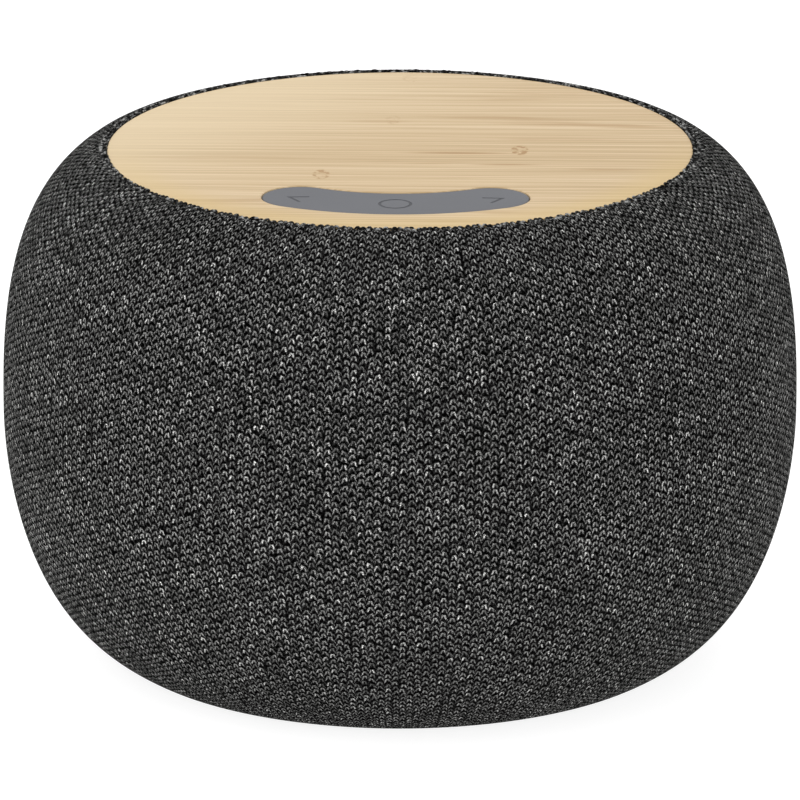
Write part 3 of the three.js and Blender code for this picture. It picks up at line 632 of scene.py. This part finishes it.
def plate_from_outlines(name, outlines, low, high, edge, material, upright=False):
    """A flat plate with rounded edges, from an outer outline and the outlines of its holes."""
    curve = bpy.data.curves.new(name, "CURVE")
    curve.dimensions = "2D"
    curve.fill_mode = "BOTH"
    curve.extrude = (high - low) / 2 - edge
    curve.bevel_depth = edge
    curve.bevel_resolution = 3
    curve.offset = -edge
    for outline in outlines:
        spline = curve.splines.new("POLY")
        spline.points.add(len(outline) - 1)
        for point, (x, y) in zip(spline.points, outline):
            point.co = (x, y, 0, 1)
        spline.use_cyclic_u = True
    holder = bpy.data.objects.new(name + "_outline", curve)
    bpy.context.scene.collection.objects.link(holder)
    bpy.context.view_layer.update()
    depsgraph = bpy.context.evaluated_depsgraph_get()
    mesh = bpy.data.meshes.new_from_object(holder.evaluated_get(depsgraph))
    bpy.data.objects.remove(holder)
    mesh.name = name
    mesh.transform(Matrix.Translation((0, 0, (low + high) / 2)))
    if upright:
        mesh.transform(STAND_UP)
        mesh.flip_normals()
    mesh.materials.clear()
    mesh.materials.append(material)
    obj = bpy.data.objects.new(name, mesh)
    bpy.context.scene.collection.objects.link(obj)
    return obj


# ---------- Sleeve ----------
# The rolled hems in section: centre, radius, first and last angle, and number of points.
TOP_HEM = ((47.15 * MM, HEIGHT - 0.95 * MM), 1.0 * MM, 55, 185, 14)
BASE_HEM = ((45.4 * MM, 1.35 * MM), 0.8 * MM, 170, 285, 10)
HEM_DEPTH = 0.75 * MM
LINING_TOP, LINING_BASE = 78.2 * MM, 2.2 * MM

# The sleeve's mesh: points round the hub, and rows on its outside and its inside.
SLEEVE_COLUMNS, OUTER_ROWS, INNER_ROWS = 208, 136, 24
HIDDEN_COURSES = 3


def outline_radius(z):
    """The pouf's outer radius at a height."""
    if z > BULGE_LEVEL:
        reach, rise, roundness = REACH_ABOVE, RISE_ABOVE, ROUNDNESS_ABOVE
    else:
        reach, rise, roundness = REACH_BELOW, RISE_BELOW, ROUNDNESS_BELOW
    share = abs(z - BULGE_LEVEL) / reach
    return BULGE_RADIUS * (1 - share**rise) ** (1 / roundness)


def outline_point(z, inset):
    """A point of the pouf's outline at a height, moved square to the outline into the hub."""
    step = 0.01 * MM
    slope = (outline_radius(z + step) - outline_radius(z - step)) / (2 * step)
    length = math.hypot(1, slope)
    return outline_radius(z) - inset / length, z + inset * slope / length


def evenly_spaced(line, count):
    """The same line with points at equal steps along it, and each point's distance from the start."""
    line = np.array(line)
    steps = np.hypot(*np.diff(line, axis=0).T)
    along = np.concatenate([[0], np.cumsum(steps)])
    wanted = np.linspace(0, along[-1], count)
    spaced = np.column_stack([np.interp(wanted, along, line[:, i]) for i in (0, 1)])
    return spaced, wanted


def sleeve_outline():
    """Outer skin from the base hem up and over the top hem, then the inner skin back down."""
    outside = [outline_point(z, 0) for z in np.linspace(HEM_DEPTH, HEIGHT - HEM_DEPTH, 200)]
    lining = [outline_point(z, FABRIC) for z in np.linspace(LINING_TOP, LINING_BASE, 60)]
    outer, along = evenly_spaced(arc_points(*BASE_HEM) + outside + arc_points(*TOP_HEM), OUTER_ROWS)
    inner, _ = evenly_spaced(lining, INNER_ROWS)
    return outer, along, inner


def ring_grid(profile, columns):
    """The points and the faces of a closed profile turned about Z, and each face's row and column."""
    angles = np.arange(columns) * TAU / columns
    ring = np.column_stack([np.sin(angles), -np.cos(angles)])
    points = [(radius * x, radius * y, z) for radius, z in profile for x, y in ring]
    rows = len(profile)
    cells = [(row, column) for row in range(rows) for column in range(columns)]
    faces = []
    for row, column in cells:
        near, far = row * columns, (row + 1) % rows * columns
        beside = (column + 1) % columns
        faces.append((near + column, near + beside, far + beside, far + column))
    return points, faces, cells


def knit_coordinates(cells, courses):
    """The texture place of every face's corners, counted in wales and courses."""
    places = []
    for row, column in cells:
        low = courses[row]
        high = courses[row + 1] if row + 1 < len(courses) else low + HIDDEN_COURSES
        left, right = column * WALES / SLEEVE_COLUMNS, (column + 1) * WALES / SLEEVE_COLUMNS
        places += [(left, low), (right, low), (right, high), (left, high)]
    return np.array(places)


def cut_inlet_window(sleeve, material):
    width, height = 19.4 * MM, 10.4 * MM
    window = [(x, INLET_MIDDLE + z) for x, z in oval_points(width, height)]
    past_fabric = BULGE_RADIUS + 4 * MM
    cut_away(sleeve, prism("inlet_window", window, port_low.y, past_fabric, material, upright=True))


def make_sleeve(material, loops):
    outer, along, inner = sleeve_outline()
    points, faces, cells = ring_grid(np.vstack([outer, inner]), SLEEVE_COLUMNS)
    lining = np.full(len(inner), along[-1] + COURSE * HIDDEN_COURSES)
    courses = np.concatenate([along, lining]) / COURSE
    sleeve = add_mesh("knit_sleeve", points, faces, material)
    layer = sleeve.data.uv_layers.new(name="knit")
    layer.data.foreach_set("uv", knit_coordinates(cells, courses).ravel())
    cut_inlet_window(sleeve, material)
    declare(sleeve, "fabric_sleeve")


def make_hem_loops(material):
    """Small uneven loops of yarn in two rows that bind the sleeve's top edge to the bamboo."""
    random = np.random.default_rng(4)
    yarn, sides = 0.16 * MM, 6
    rows = [(45.75 * MM, 0.10 * MM), (46.5 * MM, 0.12 * MM)]
    points, faces = [], []
    for row, (crown, lift) in enumerate(rows):
        for loop in range(WALES):
            angle = (loop + row / 2 + random.uniform(-0.3, 0.3)) * TAU / WALES
            inner = crown + random.uniform(-0.07, 0.07) * MM
            top = HEIGHT + lift + random.uniform(-0.12, 0.08) * MM
            half_width = random.uniform(0.4, 0.58) * MM
            add_tube(points, faces, hem_loop(angle, inner, top, half_width), yarn, sides)
    loops = add_mesh("hem_loops", points, faces, material)
    declare(loops, "fabric_sleeve")
    return loops


def hem_loop(angle, inner, top, half_width):
    """The middle line of one loop: a half turn whose open end points outward and down."""
    steps, open_reach, open_drop = 7, 0.9 * MM, 0.45 * MM
    outward = Vector((math.sin(angle), -math.cos(angle), 0))
    beside = Vector((math.cos(angle), math.sin(angle), 0))
    line = []
    for step in range(steps + 1):
        turn = math.pi * step / steps
        openness = 1 - math.sin(turn)
        reach = inner + openness * open_reach
        rise = top - openness * open_drop
        line.append(outward * reach - beside * (half_width * math.cos(turn)) + Vector((0, 0, rise)))
    return line


def add_tube(points, faces, line, radius, sides):
    """Adds a closed round tube along a line of points."""
    first = len(points)
    for i, centre in enumerate(line):
        ahead = line[min(i + 1, len(line) - 1)] - line[max(i - 1, 0)]
        side = ahead.cross(Vector((0, 0, 1))).normalized()
        up = side.cross(ahead).normalized()
        for k in range(sides):
            turn = TAU * k / sides
            points.append(centre + side * (radius * math.cos(turn)) + up * (radius * math.sin(turn)))
    for i in range(len(line) - 1):
        for k in range(sides):
            near, far = first + i * sides, first + (i + 1) * sides
            m = (k + 1) % sides
            faces.append((near + k, near + m, far + m, far + k))
    last = first + (len(line) - 1) * sides
    faces.append(tuple(reversed(range(first, first + sides))))
    faces.append(tuple(range(last, last + sides)))


# ---------- Bamboo top ----------
def strip_outline(grow):
    """The curved keypad strip in plan and a margin round it, anticlockwise from its left end."""
    cap = PAD_HALF_WIDTH + grow
    start, end = FRONT - PAD_ANGLE, FRONT + PAD_ANGLE
    left, right = [polar(PAD_MIDDLE, degrees) for degrees in (start, end)]
    outer = arc_points((0, 0), PAD_OUTER + grow, start, end, 48)
    right_cap = arc_points(right, cap, end, end + 180, 24)
    inner = arc_points((0, 0), PAD_INNER - grow, end, start, 48)
    left_cap = arc_points(left, cap, start + 180, start + 360, 24)
    return outer + right_cap[1:] + inner[1:] + left_cap[1:-1]


def make_bamboo(material):
    outlines = [circle_points(BAMBOO_RADIUS, 256), strip_outline(PAD_GAP)]
    edge = 0.2 * MM
    top = plate_from_outlines("bamboo_disc", outlines, bamboo_low.z, bamboo_high.z, edge, material)
    declare(top, "bamboo_top")


# ---------- Keypad ----------
PAD_TOP = HEIGHT - 0.1 * MM
PAD_BOTTOM = web_low.z + 0.4 * MM
PAD_EDGE = 0.25 * MM

# The marks: a groove, a thin dark piece of painted shade that starts a little under its floor, the ring's
# radius, and the arrowhead's arms, their angle to its axis and its place on the key.
GROOVE_DEPTH = 0.1 * MM
MARK_LINE = 0.45 * MM
GROOVE_SHADE_HEIGHT, GROOVE_SHADE_SINK, GROOVE_SHADE_PLAY = 0.06 * MM, 0.02 * MM, 0.02 * MM
RING_RADIUS = 2.35 * MM
ARROW_ARM, ARROW_ANGLE = 3.1 * MM, math.pi / 6
ARROW_MIDDLE = PAD_MIDDLE + 0.8 * MM


def pad_section():
    """Half of the strip's cross-section: (distance from the middle line, height), from the middle out."""
    flat = PAD_HALF_WIDTH - PAD_EDGE
    top = [(share * flat, PAD_TOP) for share in np.linspace(0, 1, 7)]
    corner = arc_points((flat, PAD_TOP - PAD_EDGE), PAD_EDGE, 75, 0, 6)
    return top + corner + [(PAD_HALF_WIDTH, PAD_BOTTOM), (0, PAD_BOTTOM)]


def swept_piece(name, sections, material):
    """A closed solid through a list of closed sections of equal length."""
    count = len(sections[0])
    points = [point for section in sections for point in section]
    faces = [tuple(range(count)), tuple(reversed(range(len(points) - count, len(points))))]
    for i in range(len(sections) - 1):
        for j in range(count):
            k = (j + 1) % count
            near, far = i * count, (i + 1) * count
            faces.append((near + j, far + j, far + k, near + k))
    obj = add_mesh(name, points, faces, material)
    weld(obj)
    shade_by_angle(obj)
    return obj


def pad_stretch(name, start, end, material):
    """The strip between two angles of its arc."""
    half = pad_section()
    whole = [(-offset, z) for offset, z in reversed(half[1:-1])] + half
    sections = [
        [(*polar(PAD_MIDDLE + offset, degrees), z) for offset, z in whole]
        for degrees in np.linspace(start, end, 13)
    ]
    return swept_piece(name, sections, material)


def pad_end(name, degrees, side, material):
    """The half-round end of the strip: side is 1 at its anticlockwise end and -1 at the other."""
    centre = polar(PAD_MIDDLE, degrees)
    sections = []
    for turn in np.linspace(0, 180, 25):
        heading = math.radians(degrees + side * turn)
        sections.append([
            (centre[0] + offset * math.cos(heading), centre[1] + offset * math.sin(heading), z)
            for offset, z in pad_section()
        ])
    return swept_piece(name, sections if side > 0 else sections[::-1], material)


def arrow_outline(degrees, side, grow):
    """An open arrowhead of two arms in plan, with its point away from the middle key."""
    half_line = MARK_LINE / 2 + grow
    turn = math.radians(degrees + 90 * side)
    forward = Vector((math.cos(turn), math.sin(turn)))
    across = Vector((-forward.y, forward.x))
    tip = Vector(polar(ARROW_MIDDLE, degrees)) + forward * ARROW_ARM * 0.5
    back = forward * -math.cos(ARROW_ANGLE)
    outline = []
    for flip in (1, -1):
        arm = back + across * (flip * math.sin(ARROW_ANGLE))
        normal = Vector((-arm.y, arm.x)) * half_line
        end = tip + arm * (ARROW_ARM + grow)
        outline += [tip + forward * (flip * half_line * 2), end - normal, end + normal]
    return [tuple(point) for point in outline]


def mark_solid(name, key, low, high, grow, material):
    """The key's mark as a solid between two heights: a ring on the middle key, arrowheads beside it."""
    degrees = KEYS[key]
    if key == "key_play":
        inner, outer = RING_RADIUS - MARK_LINE / 2 - grow, RING_RADIUS + MARK_LINE / 2 + grow
        ring = lathe(name, [(inner, low), (outer, low), (outer, high), (inner, high)], material, 64)
        ring.data.transform(Matrix.Translation((*polar(PAD_MIDDLE, degrees), 0)))
        return ring
    side = 1 if degrees > FRONT else -1
    return prism(name, arrow_outline(degrees, side, grow), low, high, material)


def make_pad_half(key, side, name, material):
    """The strip on one side of a key: its end, or the stretch halfway to the next key."""
    degrees = KEYS[key]
    spacing = PAD_ANGLE / 2
    if degrees + side * PAD_ANGLE in KEYS.values():
        half = pad_stretch(name, *sorted((degrees, degrees + side * spacing)), material)
    else:
        half = pad_end(name, degrees, side, material)
    cut_away(half, mark_solid("groove", key, PAD_TOP - GROOVE_DEPTH, HEIGHT + MM, 0.0, material))
    shade_by_angle(half)
    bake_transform(half)
    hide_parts("keypad_web", key)


def make_keypad(material, groove_shade_material):
    """The rubber strip in six pieces, and a sunken mark on each key."""
    for key in KEYS:
        for side, label in ((-1, "left"), (1, "right")):
            make_pad_half(key, side, f"{key}_{label}", material)
        # Each mark is a thin darker piece at the groove's floor: painted shade that deepens the groove.
        low = PAD_TOP - GROOVE_DEPTH - GROOVE_SHADE_SINK
        mark = mark_solid(key + "_mark", key, low, low + GROOVE_SHADE_HEIGHT, -GROOVE_SHADE_PLAY, groove_shade_material)
        declare(mark, key, body=key)


# ---------- Inlet at the back ----------
# Widths and heights of the ovals that the inlet is made of.
PORT_FLANGE, PORT_FACE = (22 * MM, 13 * MM), (19 * MM, 10 * MM)
PORT_RECESS, PORT_SLOT = (12.8 * MM, 6.8 * MM), (9.8 * MM, 4.0 * MM)
CAN_OUTSIDE, CAN_INSIDE = (9 * MM, 3.2 * MM), (8.3 * MM, 2.5 * MM)
TONGUE = (6.7 * MM, 0.7 * MM)

RECESS_DEPTH = 1.4 * MM
FLANGE_THICKNESS = 1.5 * MM
CAN_WALL = 1 * MM


def inlet_plate(name, ovals, near, far, edge, material):
    """An upright plate at the inlet between two depths, from an outer oval and any oval hole."""
    outlines = [[(x, INLET_MIDDLE + z) for x, z in oval_points(*oval)] for oval in ovals]
    return plate_from_outlines(name, outlines, near, far, edge, material, upright=True)


def make_inlet(plastic, steel, gold):
    recess, flange = port_high.y - RECESS_DEPTH, port_low.y + FLANGE_THICKNESS
    layers = [
        ("port_face", [PORT_FACE, PORT_RECESS], recess, port_high.y, 0.3 * MM),
        ("port_step", [PORT_FACE, PORT_SLOT], flange, recess, 0.05 * MM),
        ("port_flange", [PORT_FLANGE, PORT_SLOT], port_low.y, flange, 0.1 * MM),
    ]
    for layer in layers:
        declare(inlet_plate(*layer, plastic), "port_plate")
    shell = [
        ("usb_can", [CAN_OUTSIDE, CAN_INSIDE], usb_low.y, usb_high.y, 0.08 * MM),
        ("usb_back", [CAN_INSIDE], usb_low.y, usb_low.y + CAN_WALL, 0.05 * MM),
    ]
    for part in shell:
        declare(inlet_plate(*part, steel), "usb_c_shell")
    tongue = inlet_plate("usb_tongue", [TONGUE], tongue_low.y, tongue_high.y, 0.1 * MM, plastic)
    declare(tongue, "usb_c_tongue")
    make_contacts(gold)


def make_contacts(gold):
    """Twelve flat contacts on each face of the tongue."""
    points, faces = [], []
    count, pitch, half_width = 12, 0.5 * MM, 0.13 * MM
    sunk, proud = 0.01 * MM, 0.03 * MM
    near, far = tongue_low.y + 1.2 * MM, tongue_high.y - 0.5 * MM
    for i in range(count):
        x = (i - (count - 1) / 2) * pitch
        for side in (-1, 1):
            surface = INLET_MIDDLE + side * TONGUE[1] / 2
            low, high = sorted((surface - side * sunk, surface + side * proud))
            add_block(points, faces, (x - half_width, near, low), (x + half_width, far, high))
    contacts = add_mesh("usb_contacts", points, faces, gold, smooth=False)
    declare(contacts, "usb_c_tongue")


def add_block(points, faces, low, high):
    """Adds a box between its lowest and highest corners."""
    first = len(points)
    xs, ys, zs = zip(low, high)
    points += [(x, y, z) for x in xs for y in ys for z in zs]
    corners = ((0, 1, 3, 2), (4, 6, 7, 5), (0, 4, 5, 1), (2, 3, 7, 6), (0, 2, 6, 4), (1, 5, 7, 3))
    faces += [tuple(first + corner for corner in face) for face in corners]


# ---------- Underside ----------
FOOT_INNER, FOOT_ROUNDING, FOOT_CLEARANCE = 36.4 * MM, 0.7 * MM, 0.3 * MM
BASE_EDGE = 0.4 * MM
SCREW_HOLE_RADIUS, SCREW_HOLE_TOP = 2.6 * MM, 2.8 * MM


def foot_section():
    inner, outer, rounding = FOOT_INNER, foot_high.x, FOOT_ROUNDING
    foot = [(inner, foot_high.z), (inner, rounding)]
    foot += arc_points((inner + rounding, rounding), rounding, 180, 270, 7)[1:]
    foot += arc_points((outer - rounding, rounding), rounding, 270, 360, 7)
    return foot + [(outer, foot_high.z)]


def base_section():
    """The base plate in section, with the groove that holds the foot ring."""
    inner, outer = FOOT_INNER - FOOT_CLEARANCE, foot_high.x + FOOT_CLEARANCE
    groove = foot_high.z + FOOT_CLEARANCE
    return [
        (0, base_low.z),
        (inner - BASE_EDGE, base_low.z),
        (inner, base_low.z + BASE_EDGE),
        (inner, groove),
        (outer, groove),
        (outer, base_low.z + BASE_EDGE),
        (outer + BASE_EDGE, base_low.z),
        (base_high.x - BASE_EDGE, base_low.z),
        (base_high.x, base_low.z + BASE_EDGE),
        (base_high.x, base_high.z),
        (0, base_high.z),
    ]


def make_underside(plastic, rubber):
    declare(lathe("foot_pad", foot_section(), rubber, 192), "foot_ring")
    base = lathe("base_cover", base_section(), plastic, 192)
    for i in range(SCREWS["base_screw"]["count"]):
        low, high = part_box(f"base_screw_{i + 1}")
        centre = (low + high) / 2
        hole = circle_points(SCREW_HOLE_RADIUS, 48, (centre.x, centre.y))
        cut_away(base, prism("screw_hole", hole, base_low.z - MM, SCREW_HOLE_TOP, plastic))
    shade_by_angle(base)
    declare(base, "base_plate")


# ---------- Screws ----------
SCREWS = {
    "base_screw": {"count": 4, "head": 1.2 * MM, "shank": 1.1 * MM},
    "shell_screw": {"count": 3, "head": 1.6 * MM, "shank": 1.2 * MM},
    "carrier_screw": {"count": 4, "head": 1.6 * MM, "shank": 1.2 * MM},
    "driver_screw": {"count": 4, "head": 1.1 * MM, "shank": 0.6 * MM, "head_up": True},
}
SCREW_DOME, SCREW_POINT, SOCKET_DEPTH = 0.35 * MM, 0.5 * MM, 0.6 * MM


def screw_section(radius, length, head, shank):
    """Half of a screw in section, head down: dome, head, shank and a blunt point."""
    dome = [(0, 0), (radius * 0.75, 0), (radius * 0.93, SCREW_DOME * 0.35), (radius, SCREW_DOME)]
    point = [(shank, length - SCREW_POINT), (shank * 0.5, length), (0, length)]
    return dome + [(radius, head), (shank, head)] + point


def make_screw(node, head, shank, head_up, steel):
    low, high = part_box(node)
    centre = (low + high) / 2
    radius, length = (high.x - low.x) / 2, high.z - low.z
    screw = lathe(node + "_finish", screw_section(radius, length, head, shank), steel, 36)
    cut_away(screw, prism("socket", circle_points(radius * 0.5, 6), -MM, SOCKET_DEPTH, steel))
    shade_by_angle(screw)
    if head_up:
        screw.data.transform(Matrix.Rotation(math.pi, 4, "X") @ Matrix.Translation((0, 0, -length)))
    screw.data.transform(Matrix.Translation((centre.x, centre.y, low.z)))
    declare(screw, node)


def make_screws(steel):
    """Every screw again with a domed head and a six-sided socket."""
    for kind, screw in SCREWS.items():
        for i in range(screw["count"]):
            node = f"{kind}_{i + 1}"
            make_screw(node, screw["head"], screw["shank"], screw.get("head_up", False), steel)


# ---------- Charging coil ----------
WIRE = 0.25 * MM
COIL_INNER = 10.5 * MM
COIL_LAYERS = 2
STEPS_PER_TURN = 48


def winding_line(middle_y, height):
    """A flat spiral of turns side by side, from the coil's hole to its rim."""
    first, last = COIL_INNER + WIRE, coil_high.x - WIRE
    turns = int((coil_high.x - COIL_INNER) / (2 * WIRE))
    steps = STEPS_PER_TURN * turns
    line = []
    for step in range(steps + 1):
        angle = TAU * step / STEPS_PER_TURN
        radius = first + (last - first) * step / steps
        line.append(Vector((radius * math.cos(angle), middle_y + radius * math.sin(angle), height)))
    return line


def make_coil(copper):
    """A flat winding of round wire in two layers."""
    points, faces = [], []
    middle_y = (coil_low.y + coil_high.y) / 2
    for layer in range(COIL_LAYERS):
        line = winding_line(middle_y, coil_low.z + (1 + 2 * layer) * WIRE)
        add_tube(points, faces, line, WIRE * 0.97, 6)
    declare(add_mesh("coil_winding", points, faces, copper), "charging_coil")


# ---------- Loudspeaker ----------
# The rubber edge roll, the rippled centring cloth, the thickness of both, and the radius out to
# which the cloth moves with the cone.
ROLL = {"inner": 25.0 * MM, "outer": 28.5 * MM, "level": 51.5 * MM}
INNER_LIP, OUTER_LIP = 1.6 * MM, 1.4 * MM
CLOTH = {"inner": 8.2 * MM, "outer": 20.0 * MM, "level": 39.3 * MM, "waves": 2, "wave": 0.6 * MM}
SUSPENSION = 0.5 * MM
CLOTH_GRIP = 8.4 * MM

# Closed sections in millimetres: the cone from its neck out and back, and the dust cap.
CONE_SECTION = [
    (8.2, 42.2), (16.0, 45.6), (24.9, 50.5), (24.9, 51.2), (23.4, 51.2), (15.6, 46.6), (8.2, 43.0),
]
CAP_SECTION = [
    (0, 47.6), (3, 47.35), (6, 46.5), (9.6, 44.4), (10.4, 44.5), (6.4, 47.1), (3.2, 47.95), (0, 48.2),
]


def roll_section():
    """The cone's edge suspension in section: a half roll between two flat lips."""
    inner, outer, low = ROLL["inner"], ROLL["outer"], ROLL["level"]
    middle, half = (inner + outer) / 2, (outer - inner) / 2
    high, lift = low + SUSPENSION, 17
    under = arc_points((middle, low), half, 180, 0, 15)
    over = arc_points((middle, low), half + SUSPENSION, lift, 180 - lift, 15)
    inside, outside = inner - INNER_LIP, outer + OUTER_LIP
    return [(inside, high), (inside, low)] + under + [(outside, low), (outside, high)] + over


def cloth_section():
    """The centring cloth in section: ripples from the voice coil to the basket."""
    inner, outer = CLOTH["inner"], CLOTH["outer"]
    low = []
    for share in np.linspace(0, 1, 33):
        ripple = CLOTH["wave"] * math.sin(TAU * CLOTH["waves"] * share)
        low.append((inner + (outer - inner) * share, CLOTH["level"] + ripple))
    return low + [(radius, z + SUSPENSION) for radius, z in reversed(low)]


def make_soft_ring(name, node, slot, profile, inner, outer, material):
    """A suspension ring in twelve sectors; inner and outer, at the cone and at the basket, are not used."""
    sectors = 12
    sweep = 360 / sectors
    for i in range(sectors):
        middle = i * sweep
        sector = lathe(f"{name}_{i + 1}", profile, material, 8, sweep, middle - sweep / 2)
        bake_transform(sector)
        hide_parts(node)


def make_loudspeaker(looks):
    rubber, cloth, paper = looks["black_rubber"], looks["spider_cloth"], looks["paper_cone"]
    roll = (roll_section(), ROLL["inner"], ROLL["outer"], rubber)
    make_soft_ring("surround", "driver_surround", "black_rubber", *roll)
    centring = (cloth_section(), CLOTH_GRIP, CLOTH["outer"], cloth)
    make_soft_ring("spider", "driver_spider", "spider_cloth", *centring)
    parts = [("cone_paper", "driver_cone", CONE_SECTION), ("dust_cap", "driver_dust_cap", CAP_SECTION)]
    for name, node, section in parts:
        profile = [(radius * MM, z * MM) for radius, z in section]
        declare(lathe(name, profile, paper), node, body="driver_cone")


# ---------- Pieces that keep their CAD shape ----------
def slot_materials(knit, bamboo):
    """The material of every slot in the record."""
    return {
        "knit_fabric": knit,
        "bamboo": bamboo,
        "grey_rubber": moulded_material("grey_rubber_web", (0.15, 0.152, 0.163), 0.75),
        "black_rubber": moulded_material("black_rubber", (0.014, 0.014, 0.015), 0.8),
        "black_plastic": moulded_material("black_plastic", (0.02, 0.021, 0.023), 0.55),
        "white_plastic": moulded_material("white_plastic", (0.68, 0.67, 0.64), 0.45),
        "circuit_board": moulded_material("solder_mask", (0.014, 0.1, 0.045), 0.35),
        "copper": metal_material("copper_wire", (0.75, 0.32, 0.16), 0.3),
        "ferrite": moulded_material("ferrite", (0.03, 0.029, 0.031), 0.5),
        "plated_steel": metal_material("plated_steel", (0.62, 0.63, 0.64), 0.35),
        "paper_cone": moulded_material("paper_cone", (0.03, 0.03, 0.031), 0.85, 0.08 * MM),
        "spider_cloth": moulded_material("spider_cloth", (0.46, 0.25, 0.06), 0.9, 0.08 * MM),
        "pouch_foil": metal_material("pouch_foil", (0.7, 0.71, 0.73), 0.4, (60.0, 60.0, 60.0)),
    }


def finish_cad_nodes(looks):
    """Gives every CAD node the material of its slot."""
    for subpart in frame["record"]["subparts"]:
        mesh = frame["nodes"][subpart["node"]].data
        mesh.materials.clear()
        mesh.materials.append(looks[subpart["material_slot"]])


# ---------- The scene ----------
make_camera()
make_studio()
knit = knit_material()
bamboo = bamboo_material()
looks = slot_materials(knit, bamboo)
silicone = moulded_material("grey_silicone", (0.128, 0.132, 0.145), 0.7)
# A darker grey for the pieces in the key grooves: painted shade.
groove_shade_grey = moulded_material("groove_shade_grey", (0.078, 0.08, 0.088), 0.8)
contact_gold = metal_material("contact_gold", (0.9, 0.65, 0.28), 0.25)

make_sleeve(knit, make_hem_loops(yarn_material()))
make_bamboo(bamboo)
make_keypad(silicone, groove_shade_grey)
make_inlet(looks["black_plastic"], looks["plated_steel"], contact_gold)
make_underside(looks["black_plastic"], looks["black_rubber"])
make_screws(looks["plated_steel"])
make_coil(looks["copper"])
make_loudspeaker(looks)
finish_cad_nodes(looks)
